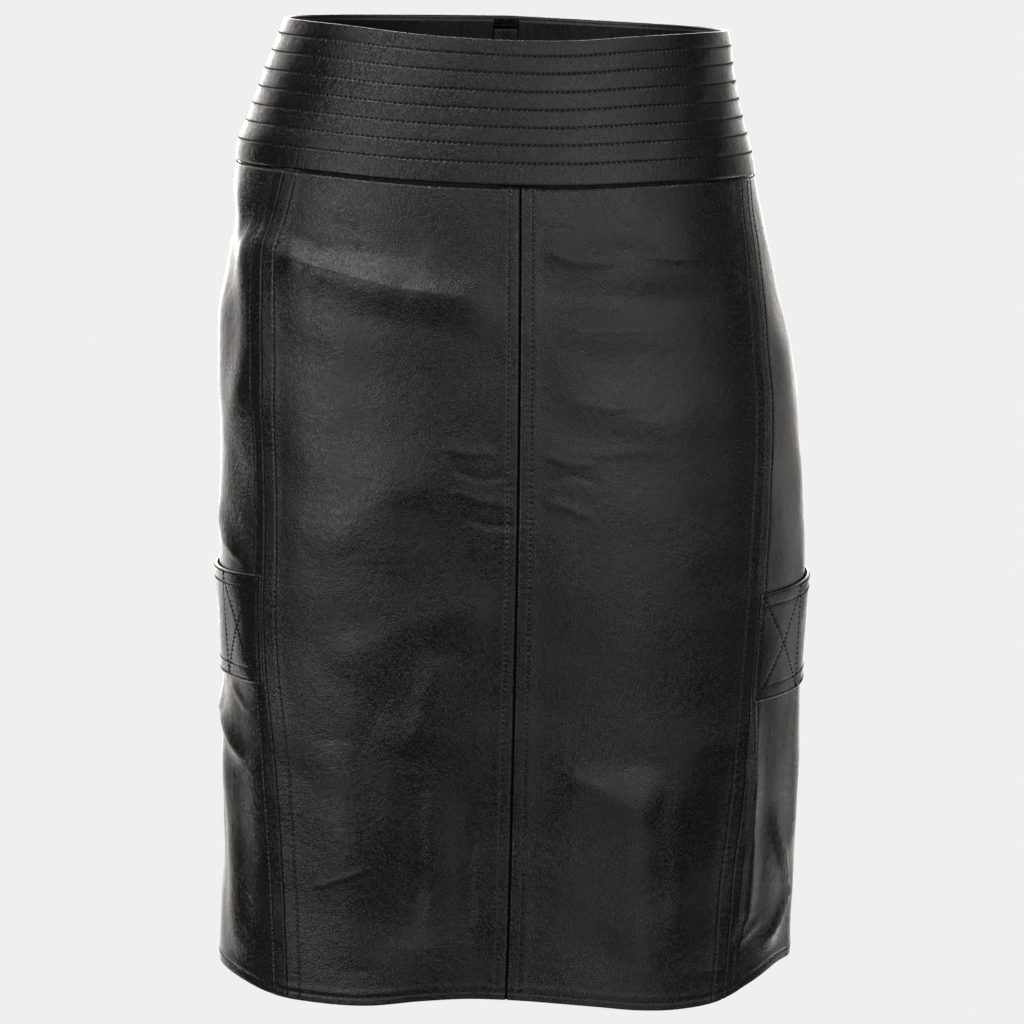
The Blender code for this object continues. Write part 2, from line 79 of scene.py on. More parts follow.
SECTIONS = tuple(Section(*row) for row in (
    #       height centre  half   front   back  square
    (12, 0.3, 131.6, 95.5, 102.5, 2.10),
    (0, 0, 135.3, 97, 104.5, 2.10),
    (-30, -3, 143.5, 101, 109.5, 2.13),
    (-60, -4.6, 152.2, 105, 114.5, 2.16),
    (-73, -5.2, 156.8, 107, 117, 2.18),
    (-88, -4.6, 159.4, 109, 119.5, 2.20),
    (-104, -3.7, 161.9, 111, 122.5, 2.20),
    (-122, -1.4, 163.4, 112.8, 126, 2.22),
    (-149, 0.2, 168.4, 115.5, 131, 2.24),
    (-177, 1.7, 174.4, 118, 135, 2.25),
    (-200, 4.2, 177.2, 119.8, 137, 2.26),
    (-248, 8.3, 179.4, 122.2, 137.5, 2.30),
    (-300, 10.2, 181.2, 123.6, 134.5, 2.33),
    (-330, 11, 181.6, 123.2, 131.5, 2.35),
    (-400, 12.6, 179.8, 119.6, 125.5, 2.38),
    (-430, 12.8, 180.2, 118, 123.5, 2.40),
    (-500, 13.6, 178.6, 114.4, 120, 2.40),
    (-546, 12.8, 178.4, 112.8, 119, 2.38),
    (-600, 12, 178.8, 112.4, 118.5, 2.36),
))


@dataclass(frozen=True)
class SeamPlace:
    """Where the long seams cross one height, as distances along X in millimetres."""

    height: float
    left: float
    middle: float
    right: float
    zip: float


SEAMS = tuple(SeamPlace(*row) for row in (
    #         height   left  middle  right   zip
    (10, -104, 10.5, 125, 0.4),
    (-80, -128, 11, 147, -2.6),
    (-107, -133.2, 11.5, 149.6, -2.4),
    (-132, -138, 12, 152.4, -1.4),
    (-168, -140, 12.6, 156.8, 0.2),
    (-240, -140, 13.7, 162.4, 3.4),
    (-307, -138, 14.3, 161, 5.8),
    (-378, -136, 14.5, 158.4, 7.8),
    (-420, -131.2, 14.5, 156.4, 8.8),
    (-486, -125, 14.4, 153, 10),
    (-519, -123, 14.3, 149.6, 10.5),
    (-552, -121, 14.1, 148.2, 10.9),
    (-600, -119, 13.4, 144.8, 11.2),
))


@dataclass(frozen=True)
class EdgeHeight:
    """Heights of the rim, the yoke seam and the hem at one angle, where each is stated."""

    angle: float
    rim: float = 0.0
    yoke: float = 0.0
    hem: float = 0.0


TOP_EDGES = tuple(EdgeHeight(*row) for row in (
    #          angle   rim   yoke
    (-180, 3.6, -86),
    (-135, 2.6, -86),
    (-90, 1.1, -86),
    (-57, -1.7, -88.6),
    (-28, -6.4, -92.6),
    (0, -8.5, -93.9),
    (24, -8, -93.6),
    (45, -4.8, -91.6),
    (66, -2.4, -89.4),
    (90, -1, -87.6),
    (135, 1.2, -87),
    (180, 3.6, -86),
))

HEM_HEIGHTS = {
    -180: -584, -135: -586, -104: -584.5, -90: -584, -80: -585, -70: -588.2,
    -62: -592.3, -50: -594, -39: -593, -25: -588.2, -12: -585.6, 2: -585.6,
    14: -587, 28: -589.5, 39: -592.2, 48: -592.6, 56: -590, 65: -581,
    74: -572.8, 84: -573.2, 97: -573.8, 128: -579, 155: -585, 180: -584,
}
HEM_EDGE = tuple(EdgeHeight(angle, hem=hem) for angle, hem in HEM_HEIGHTS.items())


@dataclass(frozen=True)
class Fold:
    """A broad ridge, or a trough where rise is negative, between two places."""

    from_angle: float
    from_height: float
    to_angle: float
    to_height: float
    width: float
    rise: float


FOLDS = tuple(Fold(*row) for row in (
    # bent ridge under the waistband on the left, with a hollow above and below it
    (-66, -124, -52, -143, 17, 1.5),
    (-52, -144.5, -26, -156, 18, 1.2),
    (-28, -156, -3, -159.5, 16, 0.9),
    (-47, -172, -6, -182, 16, -0.7),
    (-48, -127, -20, -138, 18, -1.3),
    # shallow waves across the right of the front
    (12, -134, 56, -138, 20, 1.3),
    (10, -160, 60, -162, 16, -1.2),
    (16, -180, 48, -183, 16, 1),
    (14, -225, 50, -232, 22, 1.2),
    # slack of the left side between waistband and strap
    (-88, -106, -86, -134, 20, -1.2),
    (-80, -150, -80, -262, 22, 0.8),
    (-84, -300, -70, -326, 16, 1.6),
    # bowed fold across the middle of the left front
    (-50, -318, -34, -281, 22, 0.5),
    (-36, -281, -18, -273, 22, 0.4),
    # drapes of the lower left front
    (-8, -345, -48, -384, 24, 0.6),
    (-18, -374, -28, -440, 22, 1.3),
    (-27, -448, -27, -556, 20, -1.6),
    (-13, -452, -14, -552, 20, -1.4),
    (-46, -430, -42, -572, 26, 1.6),
    # drapes of the lower right front
    (14, -452, 40, -470, 26, 1.7),
    (36, -440, 38, -575, 24, 2),
    (53, -430, 53, -570, 24, -2),
    # folds that fall from the straps to the hem
    (-90, -414, -68, -452, 15, 2),
    (-79, -440, -72, -572, 18, 2),
    (-91, -470, -92, -592, 11, -2.2),
    (61, -440, 62, -534, 12, 1.4),
    (69, -470, 78, -532, 10, 1.4),
    (78, -526, 69, -562, 10, 1.2),
    (103, -425, 106, -585, 14, -1.8),
    # the like of these on the hidden back
    (148, -160, 174, -178, 18, 2.4),
    (-174, -196, -146, -178, 20, -1.8),
    (-172, -300, -146, -320, 22, 2),
    (134, -300, 130, -410, 24, -1.8),
    (160, -400, 153, -548, 26, 2.2),
    (-164, -412, -160, -562, 24, -2.2),
    (-136, -420, -141, -566, 24, 2.2),
    (112, -430, 108, -570, 22, 2),
    (-112, -426, -108, -560, 22, -1.8),
))


@dataclass(frozen=True)
class Crease:
    """A finer fold along a bent line, steeper on one side than on the other.

    The line runs through (angle, height) places. upper is the width in millimetres of the
    slope on the left of the line's direction, lower that on its right. A lower ramp makes
    the upper slope steeper at the crest.
    """

    line: tuple[tuple[float, float], ...]
    upper: float
    lower: float
    rise: float
    ramp: float = 1.3


CREASES = tuple(Crease(*row) for row in (
    # crisp lower lip of the bent ridge, and the light patch at its left end
    (((-58, -136), (-49, -145), (-40, -150.5), (-28, -156), (-13, -158.6),
     (3, -159.8)), 12, 27, 3.2, 1.0),
    (((-72, -126), (-64, -135), (-56, -143), (-46, -149.5)), 13, 40, 3.3),
    # fold line down the left side panel, where it turns back
    (((-76, -70), (-75.6, -106), (-74, -124), (-71.2, -138), (-68, -154),
     (-66, -172), (-66, -192), (-67.5, -214), (-71, -234), (-76, -256)),
     26, 18, 3.4),
    (((-73, -243), (-70, -285), (-71, -338)), 34, 21, -1.4),
    (((-69, -318), (-66.5, -385), (-64, -405), (-63, -440), (-63, -500),
     (-64, -605)), 25, 20, 3.1),
    # ripples of the right front under the waistband
    (((13, -131), (22, -138), (34, -137)), 7, 4.5, 0.7),
    (((33, -129), (45, -135), (60, -136)), 8, 4.5, 0.8),
    (((12, -112), (28, -116), (44, -112)), 6, 5, 0.5),
    (((16, -176), (30, -178.5), (46, -177)), 5, 3.5, 0.4),
    (((18, -221), (28, -224), (40, -222)), 6, 4, 0.4),
    (((14, -250), (26, -252), (38, -249)), 6, 4, 0.4),
    # crumple on both sides of the centre seam at hip height
    (((-19, -249), (-12, -253), (-4, -251)), 5, 3.5, 0.7),
    (((-16, -262), (-9, -268), (-1, -266)), 5, 3, -0.6),
    (((-17, -275), (-8, -281), (1, -283)), 5, 3.5, 0.7),
    (((-13, -291), (-5, -296), (3, -294)), 4.5, 3, -0.5),
    (((9, -252), (16, -258), (24, -257)), 5, 3, 0.6),
    (((9.5, -268), (17, -264), (25, -270)), 4, 4, -0.5),
    (((9, -280), (16, -284), (22, -291)), 4.5, 3.5, 0.6),
    # bowed crease of the left front and its echo
    (((-48, -309), (-42, -293.5), (-36, -283.5), (-30, -277.5), (-21, -274.5)),
     9, 8, 0.2),
    (((-45, -325), (-36, -306), (-25, -298)), 8, 8, -0.15),
    # slanted drapes of the lower left front
    (((-9, -347), (-28, -360), (-48, -383)), 10, 9, 0.2),
    (((-19, -379), (-23, -404), (-26, -430)), 7, 9, 0.45),
    (((-32, -396), (-38, -424), (-41, -452)), 7, 9, -0.35),
    (((-23, -458), (-22.5, -500), (-22.5, -541)), 5, 5, 0.8),
    (((-8, -470), (-9, -510), (-7, -548)), 6, 5, 0.6),
    (((-51, -523), (-49, -520.4), (-42, -512), (-37, -507)), 2.6, 1.6, 0.45),
    # lower right front
    (((11, -441), (24, -452), (39, -476)), 9, 8, 0.5),
    (((12, -512), (28, -534), (43, -566)), 10, 9, 0.4),
    (((44.5, -449), (45.5, -500), (46, -556)), 5, 8, 0.8),
    # left side, above and below the strap
    (((-80, -316), (-74, -321), (-67, -331)), 4, 4, 0.8),
    (((-86, -322), (-80, -327)), 4, 4, -0.6),
    (((-76, -404), (-72, -411), (-67, -420)), 3.5, 3, 0.8),
    (((-89, -416), (-79, -432), (-69, -452)), 5, 3.5, 0.9),
    (((-82, -404), (-81, -424), (-83, -446)), 3, 3.5, -0.7),
    (((-74, -428), (-72.5, -486), (-71, -540), (-66, -566)), 7, 6, 0.3),
    (((-82, -470), (-80, -520), (-78, -572)), 5, 5, -0.4),
    # right side below the strap
    (((61, -402), (61.4, -430), (62, -470), (62.6, -505), (62.4, -536),
     (60, -560)), 7.5, 3.5, 2.9),
    (((69, -478), (75.5, -516), (77.5, -530), (73.5, -546), (70, -558)),
     4.5, 4, 1.6),
    (((61, -555), (66.5, -541)), 3.5, 3, 0.8),
    (((77, -402), (73, -424), (74, -452)), 4, 3.5, 0.8),
    # the like of these on the hidden back and sides
    (((146, -158), (160, -171), (175, -176)), 8, 4, 0.9),
    (((-176, -168), (-162, -172), (-148, -163)), 8, 4.5, 0.8),
    (((150, -262), (163, -270), (174, -268)), 6, 4, 0.7),
    (((-174, -272), (-163, -280), (-150, -276)), 6, 4, 0.7),
    (((-170, -338), (-152, -352), (-138, -380)), 8, 5, 0.8),
    (((142, -390), (150, -430), (154, -470)), 6, 8, 0.8),
    (((168, -452), (166, -500), (165, -548)), 6, 5, 0.8),
    (((-152, -446), (-150, -500), (-152, -560)), 5, 7, 0.8),
    (((98, -150), (104, -180), (103, -214)), 7, 7, -0.8),
    (((-100, -168), (-104, -214), (-101, -262)), 7, 6, 0.9),
    (((84, -238), (94, -252), (108, -250)), 7, 4.5, 0.7),
    (((94, -412), (101, -452), (99, -498)), 5, 5, 0.9),
    (((-98, -410), (-101, -452), (-97, -520)), 5, 6, 0.9),
    (((112, -404), (115, -440)), 4.5, 4, -0.8),
    (((-113, -404), (-117, -446)), 4, 5, -0.8),
))


# ---------------------------------------------------------------------------- the form


def read_smooth(rows: Sequence, key: str, name: str, at: Array) -> Array:
    """Read one column of a table on a smooth curve through its rows.

    Between two rows the curve is the cubic whose slope at a row is that of its neighbours.

    Args:
        rows: the table.
        key: the column that at is given in.
        name: the column to read.
        at: where to read it.

    Returns:
        The values, with the shape of at.
    """
    keys = np.array([getattr(row, key) for row in rows])
    values = np.array([getattr(row, name) for row in rows])
    order = np.argsort(keys)
    keys, values = keys[order], values[order]
    slopes = np.gradient(values, keys)
    low = np.clip(np.searchsorted(keys, at) - 1, 0, len(keys) - 2)
    span = keys[low + 1] - keys[low]
    t = np.clip((at - keys[low]) / span, 0.0, 1.0)
    start, end = values[low], values[low + 1]
    rise = 3.0 * t**2 - 2.0 * t**3
    bend = (t**3 - 2.0 * t**2 + t) * slopes[low] + (t**3 - t**2) * slopes[low + 1]
    return start + (end - start) * rise + bend * span


def ease(low: float, high: float, at: Array) -> Array:
    """Smooth step: 0 below low, 1 above high and 3t2 - 2t3 between them."""
    t = np.clip((at - low) / (high - low), 0.0, 1.0)
    return t * t * (3.0 - 2.0 * t)


def bell(distance: Array, width: float) -> Array:
    """Bell curve exp(-(distance / width)^2)."""
    return np.exp(-((distance / width) ** 2))


def full_turn(count: int) -> Array:
    """Even angles round a full turn, without the last, which meets the first."""
    return np.linspace(0.0, FULL_TURN, count, endpoint=False)


def turned(angle: Array) -> Array:
    """The same angles, from minus half a turn to half a turn."""
    return (angle + math.pi) % FULL_TURN - math.pi


def quarter_roll(distance: Array, radius: float) -> Array:
    """Depth of an edge rolled to a quarter circle: radius at the edge, 0 a radius away."""
    inside = np.clip(1.0 - distance / radius, 0.0, 1.0)
    return radius * (1.0 - np.sqrt(np.clip(1.0 - inside**2, 0.0, 1.0)))


@dataclass(frozen=True)
class Ripple:
    """Uneven wave along a line: sines of random length, phase and size, summed."""

    seed: int
    shortest: float
    longest: float
    count: int = 9
    gain: float = 1.8

    def at(self, along: Array) -> Array:
        """Height of the wave, about 1 at its highest, at some distances along the line.

        Args:
            along: distances in metres.

        Returns:
            Heights, with the shape of along.
        """
        chance = np.random.default_rng(self.seed)
        lengths = chance.uniform(self.shortest, self.longest, self.count)
        phases = chance.uniform(0.0, FULL_TURN, self.count)
        weights = chance.uniform(0.5, 1.0, self.count)
        waves = np.sin(FULL_TURN * along[..., None] / lengths + phases)
        return (waves * weights).sum(-1) / weights.sum() * self.gain


@dataclass(frozen=True)
class SkirtForm:
    """Outer form of the skirt: a superellipse for each height, with folds and creases."""

    back_seam: float = math.radians(122.0)
    band_side_seam: float = math.radians(97.0)
    yoke_fade: float = 25.0 * MM
    fold_fall: float = 3.0
    crease_fall: float = 1.5
    crease_reach: float = 3.0
    least_girth: float = 0.11
    slack: float = 0.476 * MM
    slack_seed: int = 5
    slack_waves: int = 26
    slack_length: tuple[float, float] = (0.026, 0.095)
    slack_middle: float = 0.06
    slack_upright: float = 1.5
    turns: int = 4

    def size(self, name: str, height: Array) -> Array:
        """Length of the section at some heights, in metres."""
        return read_smooth(SECTIONS, "height", name, np.asarray(height) / MM) * MM

    def squareness(self, height: Array) -> Array:
        """Exponent of the section at some heights."""
        return read_smooth(SECTIONS, "height", "squareness", np.asarray(height) / MM)

    def depth(self, angle: Array, height: Array) -> Array:
        """Depth of the section's front or back half, whichever the angle is on."""
        return np.where(np.cos(angle) > 0.0, self.size("front", height), self.size("back", height))

    def edge(self, name: str, angle: Array) -> Array:
        """Height of the rim, the yoke seam or the hem at some angles, in metres."""
        rows = HEM_EDGE if name == "hem" else TOP_EDGES
        return read_smooth(rows, "angle", name, np.degrees(turned(angle))) * MM

    def radius(self, angle: Array, height: Array) -> Array:
        """Distance from the section's centre to its edge.

        (|sin a / half width|^n + |cos a / depth|^n)^(-1/n), with the depth of the front or
        of the back.

        Args:
            angle: angles in radians.
            height: heights in metres.

        Returns:
            Distances in metres.
        """
        depth = self.depth(angle, height)
        power = self.squareness(height)
        across = np.abs(np.sin(angle) / self.size("half_width", height)) ** power
        along = np.abs(np.cos(angle) / depth) ** power
        return (across + along) ** (-1.0 / power)

    def fold_rise(self, angle: Array, height: Array) -> Array:
        """Height of the broad folds: a bell across each one's line, faded at its ends.

        Args:
            angle: angles in radians.
            height: heights in metres.

        Returns:
            Distances outwards in metres.
        """
        total = np.zeros(np.broadcast(angle, height).shape)
        girth = self.radius(angle, height)
        for fold in FOLDS:
            middle = math.radians((fold.from_angle + fold.to_angle) / 2.0)
            across = turned(angle - middle) * girth
            along = height - (fold.from_height + fold.to_height) / 2.0 * MM
            run = math.radians(fold.to_angle - fold.from_angle) * girth
            drop = (fold.to_height - fold.from_height) * MM
            share = np.clip((across * run + along * drop) / (run**2 + drop**2), -0.5, 0.5)
            gap_squared = (across - share * run) ** 2 + (along - share * drop) ** 2
            hump = np.exp(-self.fold_fall * gap_squared / (fold.width * MM) ** 2)
            total = total + fold.rise * MM * hump * (1.0 - (2.0 * share) ** 4)
        return total

    def crease_rise(self, angle: Array, height: Array) -> Array:
        """Height of the finer creases.

        Each point takes its nearest stretch of a crease's line. Across the line the
        crease is a bell with a width for each side, and its height grows and fades along
        the line as 1 - (2 share - 1)^4.

        Args:
            angle: angles in radians.
            height: heights in metres.

        Returns:
            Distances outwards in metres.
        """
        shape = np.broadcast(angle, height).shape
        angle, height = (np.broadcast_to(a, shape) for a in (angle, height))
        girth = self.radius(angle, height)
        total = np.zeros(shape)
        for crease in CREASES:
            places = np.radians([p[0] for p in crease.line]), np.array([p[1] for p in crease.line]) * MM
            middle, reach = places[0].mean(), self.crease_reach * max(crease.upper, crease.lower) * MM
            near = turned(angle - middle)
            in_reach = (np.abs(near) < np.ptp(places[0]) / 2.0 + reach / self.least_girth)
            in_reach &= (height > places[1].min() - reach) & (height < places[1].max() + reach)
            if not in_reach.any():
                continue
            x, z = near[in_reach] * girth[in_reach], height[in_reach]
            best = np.full(x.shape, np.inf)
            side, share = np.zeros(x.shape), np.zeros(x.shape)
            stretches = len(crease.line) - 1
            for i in range(stretches):
                x0 = (places[0][i] - middle) * girth[in_reach]
                x1 = (places[0][i + 1] - middle) * girth[in_reach]
                run, drop = x1 - x0, places[1][i + 1] - places[1][i]
                t = ((x - x0) * run + (z - places[1][i]) * drop) / (run**2 + drop**2)
                held = np.clip(t, 0.0, 1.0)
                gap = np.hypot(x - x0 - held * run, z - places[1][i] - held * drop)
                closer = gap < best
                best = np.where(closer, gap, best)
                cross = run * (z - places[1][i]) - drop * (x - x0)
                side = np.where(closer, cross, side)
                share = np.where(closer, (i + held) / stretches, share)
            left, right = best / (crease.upper * MM), best / (crease.lower * MM)
            gentle = np.exp(-self.crease_fall * left**crease.ramp)
            steep = np.exp(-self.crease_fall * right**2)
            hump = np.where(side > 0.0, gentle, steep) * (1.0 - (2.0 * share - 1.0) ** 4)
            total[in_reach] += crease.rise * MM * hump
        return total

    def slack_rise(self, points: Array) -> Array:
        """Soft unevenness of worn leather: slanted sine waves through space, summed.

        Args:
            points: points of the bare form.

        Returns:
            Distances outwards in metres.
        """
        chance = np.random.default_rng(self.slack_seed)
        count = self.slack_waves
        ways = chance.normal(size=(count, 3)) * (1.0, 1.0, self.slack_upright)
        ways /= np.linalg.norm(ways, axis=1)[:, None]
        lengths = np.exp(chance.uniform(*np.log(self.slack_length), count))
        phases = chance.uniform(0.0, FULL_TURN, count)
        waves = np.sin(points @ (ways * FULL_TURN / lengths[:, None]).T + phases)
        return self.slack * (waves * (lengths / self.slack_middle)).sum(-1) / math.sqrt(count)

    def base(self, angle: Array, height: Array) -> tuple[Array, Array, Array, Array]:
        """Points of the bare section and their level normals, as x, y, normal x, normal y.

        Args:
            angle: angles in radians.
            height: heights in metres.

        Returns:
            Four arrays.
        """
        reach = self.radius(angle, height)
        x, y = reach * np.sin(angle), -reach * np.cos(angle)
        depth = self.depth(angle, height)
        power = self.squareness(height)
        half = self.size("half_width", height)
        normal_x = np.sign(x) * np.abs(x / half) ** (power - 1.0) / half
        normal_y = np.sign(y) * np.abs(y / depth) ** (power - 1.0) / depth
        length = np.hypot(normal_x, normal_y)
        return x + self.size("centre_x", height), y, normal_x / length, normal_y / length

    def point(self, angle: Array, height: Array, out: Array = 0.0, relief: bool = True) -> Array:
        """Points of the form, moved out along its level normal.

        Args:
            angle: angles in radians.
            height: heights in metres.
            out: distance outwards, in metres.
            relief: whether folds, creases and slack are added.

        Returns:
            Points, with one more axis than the broadcast of the three.
        """
        angle, height, out = (np.asarray(a, float) for a in np.broadcast_arrays(angle, height, out))
        x, y, normal_x, normal_y = self.base(angle, height)
        away = out
        if relief:
            rise = self.fold_rise(angle, height) + self.crease_rise(angle, height)
            rise = rise + self.slack_rise(np.stack([x, y, height], axis=-1))
            below = (self.edge("yoke", angle) - height) / self.yoke_fade
            away = out + rise * np.clip(below, 0.0, 1.0)
        return np.stack([x + away * normal_x, y + away * normal_y, height], axis=-1)

    def metric(self, angle: Array, height: Array) -> Array:
        """Metres along the level section for each radian.

        Args:
            angle: angles in radians.
            height: heights in metres.

        Returns:
            Lengths in metres.
        """
        step = 0.5e-3
        ahead, behind = (self.point(angle + way, height, relief=False) for way in (step, -step))
        return np.linalg.norm(ahead - behind, axis=-1) / (2.0 * step)

    def seam_aside(self, name: str, depth_name: str, height: Array) -> Array:
        """Angle by which a seam stands aside of the section's middle.

        Args:
            name: the seam's column in SEAMS.
            depth_name: front or back.
            height: heights in metres.

        Returns:
            Angles in radians.
        """
        place = read_smooth(SEAMS, "height", name, np.asarray(height) / MM) * MM
        aside = place - self.size("centre_x", height)
        power = self.squareness(height)
        share = np.clip(np.abs(aside) / self.size("half_width", height), 0.0, 1.0)
        depth = self.size(depth_name, height) * (1.0 - share**power) ** (1.0 / power)
        return np.arctan2(aside, depth)

    def line(self, name: str, height: Array) -> Array:
        """Angle of a named line at some heights.

        Args:
            name: the line's name.
            height: heights in metres.

        Returns:
            Angles in radians.
        """
        if name in ("left", "middle", "right"):
            return self.seam_aside(name, "front", height)
        if name in ("zip_from_left", "zip_from_right"):
            turn = math.pi if name == "zip_from_right" else -math.pi
            return turn - self.seam_aside("zip", "back", height)
        still = {"back": self.back_seam, "side": self.band_side_seam}[name.split("_")[0]]
        return np.full(np.shape(height), still if name.endswith("right") else -still)

    def settled(self, name: str, height_at: Callable[[Array], Array]) -> tuple[Array, Array]:
        """Angle and height of a line, where each depends on the other, settled in turns.

        Args:
            name: the line's name.
            height_at: gives the height at an angle.

        Returns:
            Angles and heights.
        """
        angle = self.line(name, height_at(np.zeros((1, 1))))
        for _ in range(self.turns):
            height = height_at(angle)
            angle = self.line(name, height)
        return angle, height


FORM = SkirtForm()


# ------------------------------------------------------------------------------ meshes


class Side(Enum):
    """Which material slot of a leather wall a face takes."""

    GRAIN = 0
    FLESH = 1


def put_mesh(name: str, points: Array, faces: list, sides: Optional[Array] = None) -> Piece:
    """Make an object from points and faces, shaded smooth.

    Args:
        name: the piece's name.
        points: one row for each point.
        faces: lists of point numbers.
        sides: material slot of each face, or None for the first.

    Returns:
        The new object, linked to the scene.
    """
    mesh = bpy.data.meshes.new(name)
    mesh.from_pydata(points.reshape(-1, 3).tolist(), [], faces)
    if sides is not None:
        mesh.polygons.foreach_set("material_index", np.asarray(sides, np.int32))
    mesh.update()
    mesh.shade_smooth()
    piece = bpy.data.objects.new(name, mesh)
    bpy.context.scene.collection.objects.link(piece)
    return piece


def grid_quads(rows: int, columns: int, start: int = 0, turned: bool = False) -> Array:
    """Quads of a grid whose rows run down and columns to the right, seen from outside.

    Args:
        rows: number of rows.
        columns: number of columns.
        start: number of the first point.
        turned: whether the faces look the other way.

    Returns:
        One row of four point numbers for each quad.
    """
    index = np.arange(rows * columns).reshape(rows, columns) + start
    quads = np.stack([index[:-1, :-1], index[1:, :-1], index[1:, 1:], index[:-1, 1:]], axis=-1)
    quads = quads.reshape(-1, 4)
    return quads[:, ::-1] if turned else quads


def loop_quads(rows: int, columns: int) -> Array:
    """Quads of a grid that is closed along its rows: the last row meets the first.

    Args:
        rows: number of rows.
        columns: number of columns.

    Returns:
        One row of four point numbers for each quad.
    """
    index = np.arange(rows * columns).reshape(rows, columns)
    below = np.roll(index, -1, axis=0)
    quads = np.stack([index[:, :-1], below[:, :-1], below[:, 1:], index[:, 1:]], axis=-1)
    return quads.reshape(-1, 4)


def closed_both_ways(rows: int, columns: int) -> Array:
    """Quads of a grid that is closed along its rows and its columns.

    Args:
        rows: number of rows.
        columns: number of columns.

    Returns:
        One row of four point numbers for each quad.
    """
    index = np.arange(rows * columns).reshape(rows, columns)
    below, right = np.roll(index, -1, axis=0), np.roll(index, -1, axis=1)
    quads = np.stack([index, below, np.roll(below, -1, axis=1), right], axis=-1)
    return quads.reshape(-1, 4)


def set_wear(piece: Piece, wear: Array) -> None:
    """Store how rubbed the leather is at each point, as an attribute.

    Args:
        piece: the piece.
        wear: a value from 0 to 1 for each of its first points; the others get 0.
    """
    values = np.zeros(len(piece.data.vertices), np.float32)
    values[:wear.size] = np.clip(wear, 0.0, 1.0).ravel()
    piece.data.attributes.new("wear", "FLOAT", "POINT").data.foreach_set("value", values)


def wall_mesh(name: str, outer: Array, inner: Array, rows: Array, columns: Array) -> Piece:
    """Closed leather wall: a fine outer grid and a coarser inner one, joined at the border.

    Args:
        name: the piece's name.
        outer: grid of outer points.
        inner: inner points at the kept rows and columns alone.
        rows: kept rows, the first and last among them.
        columns: kept columns, the first and last among them.

    Returns:
        The new object; the inner faces take the flesh side's slot.
    """
    fine = np.arange(outer.shape[0] * outer.shape[1]).reshape(outer.shape[:2])
    coarse = np.arange(inner.shape[0] * inner.shape[1]).reshape(inner.shape[:2]) + fine.size
    skin = grid_quads(*outer.shape[:2])
    back = grid_quads(*inner.shape[:2], start=fine.size, turned=True)
    last_row, last_column = fine.shape[0] - 1, fine.shape[1] - 1
    border = []
    sides = (
        (fine[0], columns, coarse[0]),
        (fine[:, -1], rows, coarse[:, -1]),
        (fine[-1, ::-1], (last_column - columns)[::-1], coarse[-1, ::-1]),
        (fine[::-1, 0], (last_row - rows)[::-1], coarse[::-1, 0]),
    )
    for points, kept, behind in sides:
        for i in range(len(kept) - 1):
            edge = points[kept[i]:kept[i + 1] + 1].tolist()
            border.append(edge + [int(behind[i + 1]), int(behind[i])])
    slots = [Side.GRAIN.value] * (len(skin) + len(border)) + [Side.FLESH.value] * len(back)
    faces = skin.tolist() + border + back.tolist()
    return put_mesh(name, np.concatenate([outer.reshape(-1, 3), inner.reshape(-1, 3)]), faces, slots)


def slab_mesh(name: str, outer: Array, inner: Array) -> Piece:
    """Closed wall between two grids of the same size, joined all round their border.

    Args:
        name: the piece's name.
        outer: grid of outer points.
        inner: grid of inner points.

    Returns:
        The new object.
    """
    rows, columns = outer.shape[:2]
    count = rows * columns
    index = np.arange(count).reshape(rows, columns)
    rim = np.concatenate([index[0], index[1:, -1], index[-1, -2::-1], index[-2:0:-1, 0]])
    after = np.roll(rim, -1)
    faces = np.concatenate([grid_quads(rows, columns), grid_quads(rows, columns, count, turned=True),
                            np.stack([rim, after, after + count, rim + count], axis=-1)])
    return put_mesh(name, np.concatenate([outer.reshape(-1, 3), inner.reshape(-1, 3)]), faces.tolist())


def kept_of(count: int, step: int) -> Array:
    """Every step-th number below count, and the last one."""
    return np.unique(np.append(np.arange(0, count, step), count - 1))


def arc_length(points: Array, axis: int = 0) -> Array:
    """Distance run along a line of points, from 0 at the first.

    Args:
        points: points, their coordinates on the last axis.
        axis: axis that runs along the line.

    Returns:
        Distances in metres.
    """
    steps = np.linalg.norm(np.diff(points, axis=axis), axis=-1)
    start = np.zeros_like(np.take(steps, [0], axis=axis))
    return np.concatenate([start, np.cumsum(steps, axis=axis)], axis=axis)


# --------------------------------------------------------------------------- materials


SMOOTH = {"interpolation_type": "SMOOTHSTEP"}
TWO_COLOURS = {"data_type": "RGBA"}


def linear(colour: str) -> tuple[float, float, float, float]:
    """Turn an sRGB hex colour into linear red, green, blue and full alpha.

    Args:
        colour: hex colour such as #102030.

    Returns:
        Linear red, green, blue and alpha.
    """
    parts = np.array([int(colour[i:i + 2], 16) for i in (1, 3, 5)]) / 255.0
    parts = np.where(parts <= 0.04045, parts / 12.92, ((parts + 0.055) / 1.055) ** 2.4)
    return (*parts.tolist(), 1.0)


def add_node(tree: Tree, kind: str, settings: Optional[dict] = None,
             inputs: Optional[dict] = None) -> bpy.types.Node:
    """Add a node with its settings, and give its inputs a value or a link.

    Args:
        tree: the node tree.
        kind: the node's type, without its ShaderNode.
        settings: properties of the node.
        inputs: value or output socket for each input, by name or number.

    Returns:
        The new node.
    """
    node = tree.nodes.new("ShaderNode" + kind)
    for name, value in (settings or {}).items():
        setattr(node, name, value)
    set_inputs(tree, node, inputs or {})
    return node


def set_inputs(tree: Tree, node: bpy.types.Node, inputs: dict) -> None:
    """Give a node's inputs a value or a link.

    Args:
        tree: the node tree.
        node: the node.
        inputs: value or output socket for each input, by name or number.
    """
    for name, value in inputs.items():
        if isinstance(value, Socket):
            tree.links.new(value, node.inputs[name])
        else:
            node.inputs[name].default_value = value


